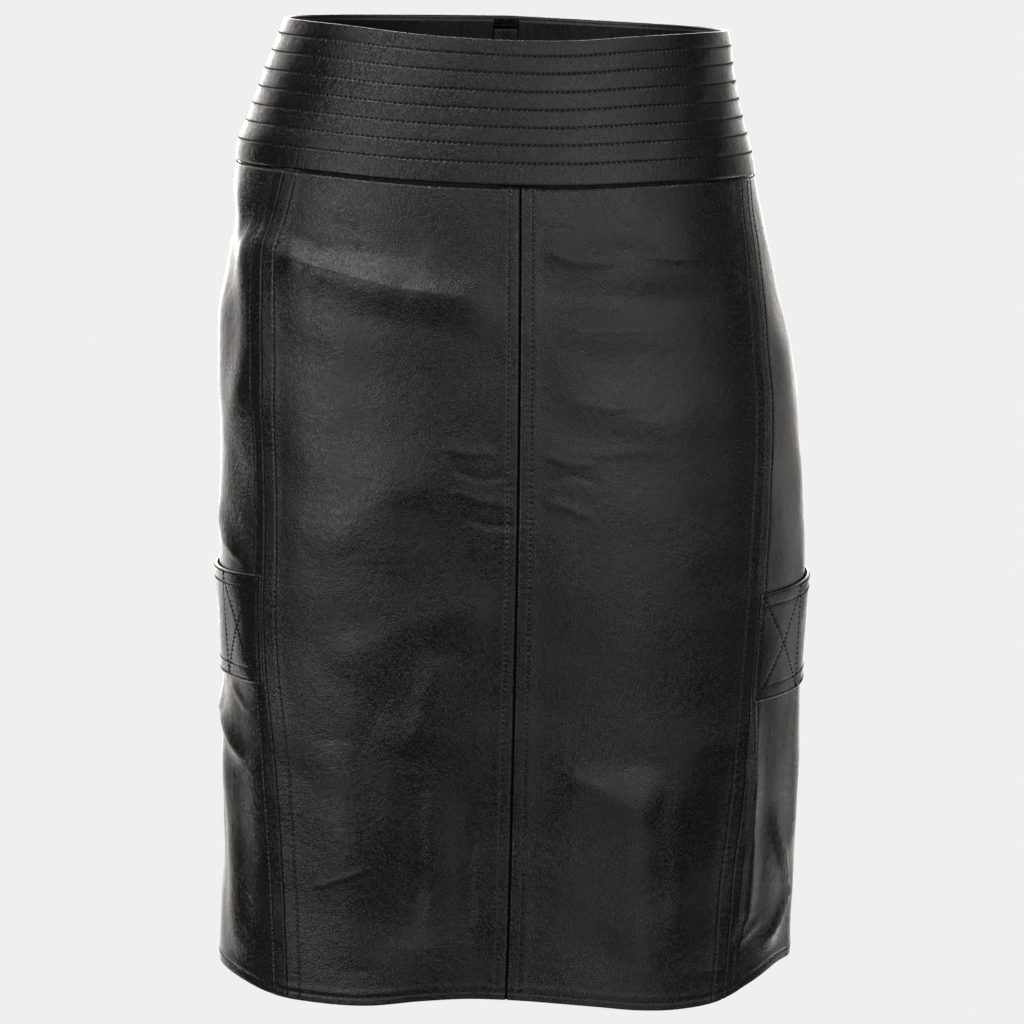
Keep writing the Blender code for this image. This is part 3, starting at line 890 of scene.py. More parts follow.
def new_tree(name: str) -> tuple[Material, Tree, bpy.types.Node]:
    """Make a node material: the material, its tree and its Principled shader.

    Args:
        name: the material's name.

    Returns:
        Material, tree and shader.
    """
    material = bpy.data.materials.new(name)
    material.use_nodes = True
    return material, material.node_tree, material.node_tree.nodes["Principled BSDF"]


@dataclass(frozen=True)
class LeatherFinish:
    """Drum-dyed black nappa with a semi-gloss top coat.

    The eye gets a near-black with a brown cast in soft patches, a pebble grain that sparkles
    where light grazes it, patches that are glossier than others, and edges rubbed lighter.
    """

    name: str
    colour: str
    tips: str
    rubbed: str
    roughness: tuple[float, float]
    warm: str = "#352D28"
    grain: float = 1.3 * MM
    grain_depth: float = 0.065 * MM
    pore: float = 0.9 * MM
    pore_depth: float = 0.065 * MM
    dimple: float = 5.0 * MM
    dimple_depth: float = 0.13 * MM
    patch: float = 34.0 * MM
    scuffs: tuple[tuple[float, float, float], ...] = ()

    def material(self) -> Material:
        """Build the material.

        Real nappa grain is about 0.6 mm across. It is drawn about twice as coarse, so that
        it shows in the picture.

        Returns:
            The material.
        """
        material, tree, shader = new_tree(self.name)
        place = add_node(tree, "TexCoord").outputs["Object"]
        cells = add_node(tree, "TexVoronoi", {"feature": "DISTANCE_TO_EDGE"},
                         {"Vector": place, "Scale": 1.0 / self.grain, "Randomness": 1.0})
        pebble = add_node(tree, "MapRange", SMOOTH,
                          {"Value": cells.outputs["Distance"], "From Max": 0.34,
                           "To Max": self.grain_depth})
        noises = ((self.pore, 1.0, 0.5), (self.dimple, 2.0, 0.55), (self.patch, 3.0, 0.6))
        pores, dimples, patches = (
            add_node(tree, "TexNoise", None,
                     {"Vector": place, "Scale": 1.0 / size, "Detail": detail, "Roughness": rough})
            for size, detail, rough in noises)
        wear = add_node(tree, "Attribute", {"attribute_name": "wear"}).outputs["Fac"]
        fine = add_node(tree, "Math", {"operation": "MULTIPLY_ADD"},
                        {0: pores.outputs["Fac"], 1: 2.0 * self.pore_depth, 2: pebble.outputs["Result"]})
        relief = add_node(tree, "Math", {"operation": "MULTIPLY_ADD"},
                          {0: dimples.outputs["Fac"], 1: 2.0 * self.dimple_depth,
                           2: fine.outputs["Value"]})
        bump = add_node(tree, "Bump", None,
                        {"Strength": 1.0, "Distance": 1.0, "Height": relief.outputs["Value"]})
        gloss = add_node(tree, "MapRange", None,
                         {"Value": patches.outputs["Fac"], "From Min": 0.36, "From Max": 0.64,
                          "To Min": self.roughness[0], "To Max": self.roughness[1]})
        crown = add_node(tree, "Math", {"operation": "MULTIPLY"},
                         {0: pebble.outputs["Result"], 1: pores.outputs["Fac"]})
        tip = add_node(tree, "MapRange", None,
                       {"Value": crown.outputs["Value"], "From Min": 0.2 * self.grain_depth,
                        "From Max": 0.62 * self.grain_depth})
        cast = add_node(tree, "MapRange", None,
                        {"Value": patches.outputs["Fac"], "From Min": 0.60, "From Max": 0.42})
        tinted = add_node(tree, "Mix", TWO_COLOURS,
                          {0: cast.outputs["Result"], 6: linear(self.tips), 7: linear(self.warm)})
        grained = add_node(tree, "Mix", TWO_COLOURS,
                           {0: tip.outputs["Result"], 6: linear(self.colour), 7: tinted.outputs[2]})
        worn = add_node(tree, "Math", {"operation": "MULTIPLY"},
                        {0: wear, 1: pores.outputs["Fac"]})
        colour = add_node(tree, "Mix", TWO_COLOURS,
                          {0: worn.outputs["Value"], 6: grained.outputs[2], 7: linear(self.rubbed)})
        result = colour.outputs[2]
        for spot in self.scuffs:
            result = self.scuffed(tree, place, pores.outputs["Fac"], result, spot)
        set_inputs(tree, shader, {"Base Color": result, "Roughness": gloss.outputs["Result"],
                                  "Normal": bump.outputs["Normal"], "IOR": 1.5})
        return material

    def scuffed(self, tree: Tree, place: Socket,
                noise: Socket, colour: Socket,
                spot: tuple[float, float, float]) -> Socket:
        """Lay a small pale scuff over the colour.

        Args:
            tree: the node tree.
            place: Object coordinates.
            noise: fine noise that frays the scuff.
            colour: the colour so far.
            spot: the scuff's place, in metres.

        Returns:
            The colour with the scuff.
        """
        away = add_node(tree, "VectorMath", {"operation": "DISTANCE"},
                        {0: place, 1: spot})
        near = add_node(tree, "MapRange", None,
                        {"Value": away.outputs["Value"], "From Min": 3.4 * MM, "From Max": 0.6 * MM})
        frayed = add_node(tree, "Math", {"operation": "MULTIPLY"},
                          {0: near.outputs["Result"], 1: noise})
        mask = add_node(tree, "MapRange", SMOOTH,
                        {"Value": frayed.outputs["Value"], "From Min": 0.26, "From Max": 0.5,
                         "To Max": 0.5})
        mixed = add_node(tree, "Mix", TWO_COLOURS,
                         {0: mask.outputs["Result"], 6: colour, 7: linear("#C9C4BC")})
        return mixed.outputs[2]


@dataclass(frozen=True)
class SuedeFinish:
    """Flesh side of the hide: matt, brushed, with a short dark nap."""

    name: str
    colour: str
    lighter: str
    nap: float = 0.7 * MM

    def material(self) -> Material:
        """Build the material, with sheen for the nap.

        Returns:
            The material.
        """
        material, tree, shader = new_tree(self.name)
        place = add_node(tree, "TexCoord").outputs["Object"]
        fibres = add_node(tree, "TexNoise", None,
                          {"Vector": place, "Scale": 1.0 / self.nap, "Detail": 4.0, "Roughness": 0.7})
        colour = add_node(tree, "Mix", TWO_COLOURS,
                          {0: fibres.outputs["Fac"], 6: linear(self.colour), 7: linear(self.lighter)})
        bump = add_node(tree, "Bump", None,
                        {"Strength": 0.8, "Distance": 0.1 * MM, "Height": fibres.outputs["Fac"]})
        set_inputs(tree, shader, {"Base Color": colour.outputs[2], "Normal": bump.outputs["Normal"],
                                  "Roughness": 0.92, "Sheen Weight": 0.25, "Sheen Roughness": 0.5})
        return material


@dataclass(frozen=True)
class ThreadFinish:
    """Bonded polyester sewing thread: black, twisted, with a waxy gleam."""

    name: str = "bonded_polyester_thread"
    colour: str = "#0B0B0C"
    lighter: str = "#1B1B1D"
    twist: float = 0.8 * MM

    def material(self) -> Material:
        """Build the material; the twist shows as fine changes of tone.

        Returns:
            The material.
        """
        material, tree, shader = new_tree(self.name)
        place = add_node(tree, "TexCoord").outputs["Object"]
        strands = add_node(tree, "TexNoise", None,
                           {"Vector": place, "Scale": 1.0 / self.twist, "Detail": 1.0})
        colour = add_node(tree, "Mix", TWO_COLOURS,
                          {0: strands.outputs["Fac"], 6: linear(self.colour), 7: linear(self.lighter)})
        set_inputs(tree, shader, {"Base Color": colour.outputs[2], "Roughness": 0.6, "IOR": 1.55,
                                  "Specular IOR Level": 0.25})
        return material


@dataclass(frozen=True)
class TapeFinish:
    """Woven polyester zip tape: matt black, with a herringbone rib along it."""

    name: str = "woven_polyester_tape"
    colour: str = "#0E0E10"
    lighter: str = "#26262A"
    rib: float = 0.9 * MM

    def material(self) -> Material:
        """Build the material; the ribs follow the tape's own UV map, which is in metres.

        Returns:
            The material.
        """
        material, tree, shader = new_tree(self.name)
        place = add_node(tree, "UVMap", {"uv_map": "tape"}).outputs["UV"]
        ribs = add_node(tree, "TexWave", {"bands_direction": "DIAGONAL"},
                        {"Vector": place, "Scale": 1.0 / (self.rib * 6.3), "Distortion": 0.2})
        colour = add_node(tree, "Mix", TWO_COLOURS,
                          {0: ribs.outputs["Fac"], 6: linear(self.colour), 7: linear(self.lighter)})
        bump = add_node(tree, "Bump", None,
                        {"Strength": 0.7, "Distance": 0.1 * MM, "Height": ribs.outputs["Fac"]})
        set_inputs(tree, shader, {"Base Color": colour.outputs[2], "Normal": bump.outputs["Normal"],
                                  "Roughness": 0.85})
        return material


@dataclass(frozen=True)
class GunmetalFinish:
    """Die-cast zinc plated in dark nickel: smooth, dark grey, with faint handling marks."""

    name: str = "dark_nickel_plate"
    colour: str = "#6E6A66"
    mark: float = 2.2 * MM

    def material(self) -> Material:
        """Build the material; roughness varies with the handling marks.

        Returns:
            The material.
        """
        material, tree, shader = new_tree(self.name)
        place = add_node(tree, "TexCoord").outputs["Object"]
        marks = add_node(tree, "TexNoise", None,
                         {"Vector": place, "Scale": 1.0 / self.mark, "Detail": 4.0, "Roughness": 0.65})
        gloss = add_node(tree, "MapRange", None,
                         {"Value": marks.outputs["Fac"], "From Min": 0.3, "From Max": 0.7,
                          "To Min": 0.2, "To Max": 0.42})
        set_inputs(tree, shader, {"Roughness": gloss.outputs["Result"],
                                  "Base Color": linear(self.colour), "Metallic": 1.0})
        return material


# ------------------------------------------------------------------------------ sewing


@dataclass
class StitchRow:
    """One row of lockstitch on the form: places along it, how far out and how many."""

    angle: Array
    height: Array
    out: Array
    count: Optional[int] = None

    def points(self, lift: float = 0.0) -> Array:
        """Points of the row, lifted along the form's level normal."""
        return FORM.point(self.angle, self.height, self.out + lift)


@dataclass
class Sewing:
    """All rows of one group, made as one mesh of short, sunk-in stitches."""

    name: str
    slot: str
    pitch: float = 3.24 * MM
    thread: float = 0.85 * MM
    shown: float = 0.66
    arch: float = 0.24 * MM
    rows: list[StitchRow] = field(default_factory=list)

    ring_at: tuple[float, ...] = (0.0, 0.26, 0.74, 1.0)
    ring_lift: tuple[float, ...] = (-1.0, 1.0, 1.0, -1.0)
    ring_size: tuple[float, ...] = (0.55, 1.0, 1.0, 0.55)
    sides: int = 4

    def stitch_points(self, row: StitchRow, number: int) -> Array:
        """Points of every stitch of one row.

        A stitch is four rings of four points on its thread. The first and last ring dip
        into the leather. A small random turn keeps stitches from lying in one line.

        Args:
            row: where the row lies.
            number: seed of the row.

        Returns:
            Points as stitch, ring, side, coordinate.
        """
        line, above = row.points(), row.points(1.0 * MM)
        run = arc_length(line)
        count = row.count or max(int(round(run[-1] / self.pitch)), 1)
        pitch = run[-1] / count
        chance = np.random.default_rng(number)
        slip = chance.normal(0.0, 0.03, (count, 2)) * pitch
        starts = np.arange(count) * pitch + pitch * (1.0 - self.shown) / 2.0
        at = starts[:, None] + np.array(self.ring_at) * pitch * self.shown + slip[:, :1]
        at = np.clip(at, 0.0, run[-1])
        centre = np.stack([np.interp(at, run, line[:, i]) for i in range(3)], axis=-1)
        up = np.stack([np.interp(at, run, above[:, i]) for i in range(3)], axis=-1) - centre
        up /= np.linalg.norm(up, axis=-1, keepdims=True)
        along = np.gradient(centre, axis=1)
        along /= np.maximum(np.linalg.norm(along, axis=-1, keepdims=True), 1e-9)
        across = np.cross(along, up)
        sway = (np.array(self.ring_at) - 0.5) * chance.normal(0.0, 0.05, (count, 1)) * pitch
        centre = centre + across * sway[..., None]
        centre = centre + up * (np.array(self.ring_lift) * self.arch)[:, None]
        turn = FULL_TURN * (np.arange(self.sides) + 0.5) / self.sides
        radius = (np.array(self.ring_size) * self.thread / 2.0)[:, None, None]
        ring = np.cos(turn)[:, None] * up[..., None, :] + np.sin(turn)[:, None] * across[..., None, :]
        return centre[..., None, :] + radius * ring

    def build(self, seed: int) -> Piece:
        """Join the stitches of every row into one mesh and return it.

        Args:
            seed: seed of the first row.

        Returns:
            The new object.
        """
        points = np.concatenate([self.stitch_points(row, seed + i) for i, row in enumerate(self.rows)])
        rings, sides = len(self.ring_at), self.sides
        index = np.arange(rings * sides).reshape(rings, sides)
        right = np.roll(index, -1, axis=1)
        skin = np.stack([index[:-1], right[:-1], right[1:], index[1:]], axis=-1).reshape(-1, 4)
        caps = np.stack([index[0, ::-1], index[-1]])
        one = np.concatenate([skin, caps])
        starts = np.arange(len(points)) * rings * sides
        faces = (one[None] + starts[:, None, None]).reshape(-1, 4)
        LOG.info("%s: %d stitches", self.name, len(points))
        return put_mesh(self.name, points, faces.tolist())


# -------------------------------------------------------------------------- the pieces


@dataclass(frozen=True)
class Wardrobe:
    """The finishes that the pieces share."""

    leather: Material
    strap: Material
    band: Material
    facing: Material
    flesh: Material
    thread: Material
    tape: Material
    metal: Material


def dress(piece: Piece, slot: str, body: str, *materials: Material) -> None:
    """Give a piece its materials, and let it ride on its body.

    Args:
        piece: the piece.
        slot: its slot; not used.
        body: its body.
        materials: one for each material slot.
    """
    for material in materials:
        piece.data.materials.append(material)
    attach(piece, body)


@dataclass
class LeatherPiece:
    """One cut piece of leather between two lines of the form, with its sheet's flat size."""

    node: str
    lines: tuple[str, str]
    flat: tuple[float, float]
    area: float
    seed: int

    SLOT = "black_leather"
    FINISHES = ("leather", "flesh")
    HELD = "hung"

    def build(self) -> Piece:
        """Make the piece's mesh."""
        raise NotImplementedError

    def support(self) -> str:
        """Node that carries the piece."""
        raise NotImplementedError

    def make(self, wardrobe: Wardrobe) -> None:
        """Args:
            wardrobe: the finishes.
        """
        piece = self.build()
        dress(piece, self.SLOT, "skirt", *(getattr(wardrobe, name) for name in self.FINISHES))
        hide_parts(self.node)
        LOG.info("%s: %d faces", piece.name, len(piece.data.polygons))


@dataclass
class LongPanel(LeatherPiece):
    """One long panel between two seams, from the yoke seam to the folded hem."""

    row_at: tuple[float, float]
    column: float = 4.2 * MM

    wall: float = 1.3 * MM
    allowance: float = 11.0 * MM
    hem_fold: float = 9.0 * MM
    hem_row_at: float = 5.0 * MM
    yoke_row_at: float = 1.5 * MM
    pucker: float = 0.17 * MM
    groove: float = 0.5 * MM
    groove_width: float = 0.6 * MM
    hem_groove_width: float = 0.8 * MM
    bridge: float = 0.1
    allowance_lift: float = 0.30 * MM
    allowance_fade: tuple[float, ...] = (2.0 * MM, 2.5 * MM)
    hem_lift: float = 0.25 * MM
    hem_fade: tuple[float, ...] = (1.0 * MM, 2.0 * MM)
    hem_roll: float = 0.9 * MM
    row_lift: float = 0.12 * MM
    yoke_depth: float = -0.55 * MM
    tuck: tuple[float, ...] = (2.9 * MM, -1.7 * MM)
    gather: tuple[float, ...] = (0.26 * MM, 1.8 * MM, 2.4 * MM)
    pucker_reach: tuple[float, ...] = (1.2 * MM, 3.4 * MM)
    hem_pucker_reach: float = 4.0 * MM
    folded_wall: float = 0.9 * MM
    seam_wall: tuple[float, ...] = (1.2 * MM, 1.5 * MM)
    rubbed: tuple[float, ...] = (0.75, 1.4 * MM)
    stitch_rows: int = 3
    first_row: int = 5
    row_points: int = 160
    length: float = 0.497
    row: float = 1.08 * MM
    inner_steps: tuple[int, ...] = (6, 3)
    EDGE = np.array([0.0, 0.12, 0.3, 0.6, 0.95, 1.4, 1.9, 2.6, 3.3]) * MM
    SEAM_COLUMNS = np.array([0.0, 0.1, 0.25, 0.45, 0.75, 1.1, 1.6, 2.4]) * MM
    ROW_COLUMNS = np.array([-2.2, -1.25, -0.8, -0.4, 0.0, 0.4, 0.8, 1.25, 2.2]) * MM
    past_row: float = 3.8 * MM
    no_row: float = 8.0
    VALLEYS = {"middle": (1.8 * MM, 2.6 * MM)}
    valley_size: tuple[float, ...] = (1.15 * MM, 1.5 * MM)
    CORNERS = {"left": 1.3 * MM, "right": 0.5 * MM, "back_left": 0.7 * MM, "back_right": 0.7 * MM}
    corner_width: float = 13.0 * MM

    def __post_init__(self) -> None:
        """Work out the grid of angles and heights, and the distances from its edges."""
        inside = np.arange(self.EDGE[-1], self.length - self.EDGE[-1], self.row)[1:]
        rows = np.concatenate([self.EDGE, inside, self.length - self.EDGE[::-1]])
        self.share = rows[:, None] / self.length

        def height_at(angle: Array) -> Array:
            """Heights of the rows at some angles."""
            top = FORM.edge("yoke", angle)
            return top + self.share * (FORM.edge("hem", angle) - top)

        self.height_at = height_at
        (left, left_height), (right, right_height) = (FORM.settled(n, height_at) for n in self.lines)
        per_left, per_right = FORM.metric(left, left_height), FORM.metric(right, right_height)
        first = left + self.near(self.row_at[0]) / per_left
        last = right - self.near(self.row_at[1])[::-1] / per_right
        columns = int(round(float(np.median((last[:, 0] - first[:, -1]) * per_left[:, 0])) / self.column))
        steps = np.linspace(0.0, 1.0, columns + 1)[None, 1:-1]
        middle = first[:, -1:] + (last[:, :1] - first[:, -1:]) * steps
        self.angle = np.concatenate([first, middle, last], axis=1)
        self.height = height_at(self.angle)
        self.from_left = (self.angle - left) * per_left
        self.from_right = (right - self.angle) * per_right
        self.ends = (left, per_left), (right, per_right)
        self.from_top = FORM.edge("yoke", self.angle) - self.height
        self.from_hem = self.height - FORM.edge("hem", self.angle)

    def near(self, row_at: float) -> Array:
        """Distances of the columns from a seam, close together at it and at its stitch row.

        Args:
            row_at: the stitch row's distance from the seam in millimetres, 0 for none.

        Returns:
            The distances in metres.
        """
        row = (row_at or self.no_row) * MM
        edge, around = self.SEAM_COLUMNS, row + self.ROW_COLUMNS
        return np.concatenate([edge, [(edge[-1] + around[0]) / 2.0], around, [row + self.past_row]])

    def seam_rows(self) -> list[StitchRow]:
        """Stitch rows beside the two seams; a distance of 0 means that there is none.

        Returns:
            The rows, at most two.
        """
        rows = []
        first, last, count = self.stitched()
        keep = slice(first, last + 1)
        for (edge, per), way, gap in zip(self.ends, (1.0, -1.0), self.row_at):
            if gap:
                angle = edge + way * gap * MM / per
                height = self.height_at(angle)
                out = np.full(last + 1 - first, self.allowance_lift - self.groove + self.row_lift)
                rows.append(StitchRow(angle[keep, 0], height[keep, 0], out, count))
        return rows

    def stitched(self) -> tuple[int, int, int]:
        """First and last grid row of the seams' stitch rows, and their number of stitches."""
        count = (len(self.share) - 2 * self.first_row) // self.stitch_rows
        return self.first_row, self.first_row + count * self.stitch_rows, count

    def level_row(self, grid_row: int, edge: str, above: float, out: float) -> StitchRow:
        """Stitch row along the yoke seam or the hem.

        Args:
            grid_row: row of the grid at that edge.
            edge: the edge's name.
            above: height above the edge, in metres.
            out: distance outwards, in metres.

        Returns:
            The row.
        """
        angle = np.linspace(self.angle[grid_row, 0], self.angle[grid_row, -1], self.row_points)
        return StitchRow(angle, FORM.edge(edge, angle) + above, np.full(self.row_points, out))

    def yoke_row(self) -> StitchRow:
        """Seam stitches that show in the groove right under the waistband."""
        return self.level_row(0, "yoke", -self.yoke_row_at, self.yoke_depth)

    def hem_row(self) -> StitchRow:
        """Stitch row that holds the folded hem."""
        return self.level_row(-1, "hem", self.hem_row_at, self.hem_lift - self.groove)

    def out(self) -> Array:
        """Distance outwards of the outer skin, from what was sewn.

        Rolled edges at both seams and at the hem, a slope up from under the waistband, a
        slight lift over the seam allowances, a groove along each stitch row with a dimple
        at each stitch, and puckers beside it.

        Returns:
            One distance in metres for each point of the grid.
        """
        out = np.zeros(self.angle.shape)
        bare = FORM.point(self.angle, self.height, relief=False)
        run, around = arc_length(bare), arc_length(bare, axis=1)
        hole = ((np.arange(len(self.share)) - self.first_row) % self.stitch_rows == 0)[:, None]
        fade_in, fade_out = self.allowance_fade
        for distance, gap, line in zip((self.from_left, self.from_right), self.row_at, self.lines):
            out -= self.valley(distance, line)
            out += self.CORNERS.get(line, 0.0) * np.exp(-distance / self.corner_width)
            if not gap:
                continue
            lifted = 1.0 - ease(self.allowance - fade_in, self.allowance + fade_out, distance)
            out += self.allowance_lift * lifted
            aside = distance - gap * MM
            out -= self.groove * bell(aside, self.groove_width) * np.where(hole, self.bridge, 1.0)
            waves = Ripple(self.seed + int(gap * 10.0), 2.6 * MM, 5.4 * MM).at(run)
            patchy = 0.6 + 0.5 * Ripple(self.seed + 3 + int(gap), 18.0 * MM, 60.0 * MM, 5).at(run)
            beside = bell(aside + self.pucker_reach[0], self.pucker_reach[1])
            out += self.pucker * waves * beside * np.clip(patchy, 0.15, 1.2)
        out -= quarter_roll(self.from_hem, self.hem_roll)
        fade_in, fade_out = self.hem_fade
        out += self.hem_lift * (1.0 - ease(self.hem_fold - fade_in, self.hem_fold + fade_out, self.from_hem))
        aside = self.from_hem - self.hem_row_at
        out -= self.groove * bell(aside, self.hem_groove_width)
        waves = Ripple(self.seed + 7, 3.0 * MM, 7.0 * MM).at(around)
        out += self.pucker * waves * bell(aside, self.hem_pucker_reach)
        tucked = 1.0 - ease(0.0, self.tuck[0], self.from_top)
        tall, below, width = self.gather
        gather = Ripple(self.seed + 11, 2.8 * MM, 4.2 * MM).at(around)
        out += self.tuck[1] * tucked + tall * gather * bell(self.from_top - below, width)
        return out

    def valley(self, distance: Array, line: str) -> Array:
        """Depth of the valley where this edge rolls in to meet the next panel's."""
        width, depth = self.VALLEYS.get(line, self.valley_size)
        return quarter_roll(distance, width) * depth / width

    def wear(self) -> Array:
        """Rubbed edge of the hem's fold."""
        return self.rubbed[0] * bell(self.from_hem, self.rubbed[1])

    def build(self) -> Piece:
        """Make the panel's wall; it is thicker over the seam allowances and the hem's fold.

        Returns:
            The new object.
        """
        outer = FORM.point(self.angle, self.height, self.out())
        rows, columns = map(kept_of, self.angle.shape, self.inner_steps)
        pick = np.ix_(rows, columns)
        edge = np.minimum(self.from_left, self.from_right)[pick]
        folded = 1.0 - ease(self.allowance - MM, self.allowance + MM, edge)
        hemmed = 1.0 - ease(self.hem_fold - MM, self.hem_fold + MM, self.from_hem[pick])
        depth = self.wall + self.folded_wall * np.maximum(folded, hemmed)
        depth = depth + self.seam_wall[0] * bell(edge, self.seam_wall[1])
        inner = FORM.point(self.angle[pick], self.height[pick], -depth)
        piece = wall_mesh(self.node + "_leather", outer, inner, rows, columns)
        set_wear(piece, self.wear())
        return piece

    def support(self) -> str:
        """The waistband's stretch above the panel."""
        return "waistband_" + (self.node if self.node.startswith("back") else "front")


@dataclass
class BandStretch(LeatherPiece):
    """One stretch of the waistband: eight stitched bands, turned in over the rim."""

    SLOT = "waistband_leather"
    FINISHES = ("band",)
    shares: tuple[float, ...] = (0.0, 0.105, 0.226, 0.352, 0.476, 0.598, 0.719, 0.846, 1.0)
    IN_BAND = np.array([0.0, 0.035, 0.075, 0.13, 0.24, 0.41, 0.59, 0.76, 0.87, 0.925, 0.965])
    stands_out: float = 0.7 * MM
    crown: float = 0.14 * MM
    groove: float = 0.45 * MM
    groove_width: float = 0.5 * MM
    bridge: float = 0.05
    crown_power: float = 2.6
    height: float = 0.089
    rim: float = 1.55 * MM
    rim_gather: float = 0.10 * MM
    rim_points: int = 9
    turned_in: float = 7.2 * MM
    turned_points: tuple[float, ...] = (6.9, 6.3, 5.6, 4.6, 3.6, 2.6, 1.9)
    edge_stitch: tuple[float, ...] = (5.9, 1.3)
    inside: float = -0.8 * MM
    inside_shares: tuple[float, ...] = (1.0, 0.6, 0.2)
    low_roll: float = 1.3 * MM
    end_roll: float = 0.8 * MM
    row_lift: float = 0.2 * MM
    bite: tuple[float, ...] = (0.2 * MM, 0.95 * MM, 0.6 * MM)
    pucker: tuple[float, ...] = (0.11 * MM, 2.6 * MM)
    low_pucker: float = 0.36 * MM
    low_strongest: tuple[float, ...] = (0.022, 0.085)
    buckle: float = 0.25 * MM
    END_COLUMNS = np.array([0.0, 0.12, 0.3, 0.55]) * MM
    first_even: float = 0.9 * MM
    column: float = 1.08 * MM
    stitch_columns: int = 3
    first_column: int = 4

    def band_height(self, angle: Array, share: Array) -> Array:
        """Height of a level share of the waistband at some angles."""
        rim = FORM.edge("rim", angle)
        return rim + share * (FORM.edge("yoke", angle) - rim)

    def ends(self, share: Array) -> list[Array]:
        """Angles of the stretch's two ends at some shares of the height."""
        return [FORM.settled(name, lambda at: self.band_height(at, share))[0] for name in self.lines]

    def __post_init__(self) -> None:
        """Spread the columns evenly in length along the middle of the band."""
        left, right = self.ends(np.array([[0.5]]))
        fine = np.linspace(0.0, 1.0, 400)
        middle = (left + (right - left) * fine)[0]
        run = arc_length(FORM.point(middle, self.band_height(middle, 0.5), relief=False))
        count = int(round(run[-1] / self.column))
        even = np.linspace(self.first_even, run[-1] - self.first_even, count)
        places = np.concatenate([self.END_COLUMNS, even, run[-1] - self.END_COLUMNS[::-1]])
        self.spread = np.interp(places, run, fine)[None, :]

    def columns(self, share: Array) -> Array:
        """Angles of the grid's columns at some shares of the height."""
        left, right = self.ends(share)
        return left + (right - left) * self.spread

    def outside(self) -> tuple[Array, Array]:
        """Shares of the height down the outer face, and place within the band from 0 to 1.

        Returns:
            Shares and places, one of each for a row.
        """
        upper, lower = np.array(self.shares[:-1])[:, None], np.array(self.shares[1:])[:, None]
        shares = upper + (lower - upper) * self.IN_BAND
        return np.append(shares, 1.0), np.append(np.tile(self.IN_BAND, len(upper)), 1.0)

    def skin(self) -> tuple[Array, Array, Array]:
        """Angles, heights and outward distances of the outer face.

        Each band is crowned as 1 - |2t - 1|^2.6 between its rows. A groove runs along each
        row, and puckers stand across it, as tall folds over the lowest band.

        Returns:
            Three grids, in radians and metres.
        """
        share, place = (values[:, None] for values in self.outside())
        angle = self.columns(share)
        height = self.band_height(angle, share)
        bare = FORM.point(angle, height, relief=False)
        around = arc_length(bare, axis=1)
        out = self.stands_out + self.crown * (1.0 - np.abs(2.0 * place - 1.0) ** self.crown_power)
        hole = (np.arange(angle.shape[1]) - self.first_column) % self.stitch_columns == 0
        bite, bite_below, bite_width = self.bite
        for i, row in enumerate(self.shares[1:-1]):
            away = (share - row) * self.height
            ripple = Ripple(self.seed + i, 2.4 * MM, 4.6 * MM).at(around)
            out = out - self.groove * bell(away, self.groove_width) * np.where(hole, self.bridge, 1.0)
            out = out + bite * bell(away - bite_below, bite_width) * hole
            patchy = 0.55 + 0.45 * Ripple(self.seed + 40 + i, 38.0 * MM, 110.0 * MM, 4).at(around)
            out = out + self.pucker[0] * ripple * bell(away, self.pucker[1]) * np.clip(patchy, 0.1, 1.0)
        low = ease(self.shares[-2] - 0.01, self.shares[-2] + 0.05, share) * (place < 1.0)
        middle, width = self.low_strongest
        strong = 0.35 + 0.65 * bell(bare[..., 0] - middle, width)
        tall = Ripple(self.seed + 20, 2.6 * MM, 4.4 * MM).at(around)
        arched = np.sin(math.pi * place.clip(0.0, 1.0)) ** 0.5
        out = out + self.low_pucker * low * strong * tall * arched
        out = out - quarter_roll((1.0 - share) * self.height, self.low_roll)
        uneven = Ripple(self.seed + 30, 30.0 * MM, 90.0 * MM, 6).at(around)
        out = out + self.buckle * uneven * np.sin(math.pi * share)
        for edge in (around, around[:, -1:] - around):
            out = out - quarter_roll(edge, self.end_roll)
        return angle, height, out

    def rows(self) -> list[StitchRow]:
        """The seven stitch rows, in the grooves between the bands.

        Returns:
            The rows.
        """
        found = []
        first, step = self.first_column, self.stitch_columns
        count = (self.spread.shape[1] - 2 * first - 1) // step
        for row in self.shares[1:-1]:
            angle = self.columns(np.array([[row]]))[0, first:first + count * step + 1]
            out = np.full(angle.shape, self.stands_out - self.groove + self.row_lift)
            found.append(StitchRow(angle, self.band_height(angle, row), out, count))
        return found

    def build(self) -> Piece:
        """Make the band as a closed section carried round the waist.

        The section runs down the outer face, back up behind it to the turned-in edge, down
        and up round that edge, and over the rim in a half circle.

        Returns:
            The new object.
        """
        angle, height, out = self.skin()
        top, top_height = angle[0], height[0]
        run = arc_length(FORM.point(top, top_height, relief=False))
        gather = Ripple(self.seed + 50, 2.8 * MM, 4.4 * MM).at(run)
        parts_angle, parts_height, parts_out = [angle], [height], [out]

        def add(drop: float, outwards: Array) -> None:
            """Add one line of the section: its drop below the rim, its distance outwards."""
            parts_angle.append(top[None])
            parts_height.append((top_height - drop)[None])
            parts_out.append(np.broadcast_to(outwards, top.shape)[None])

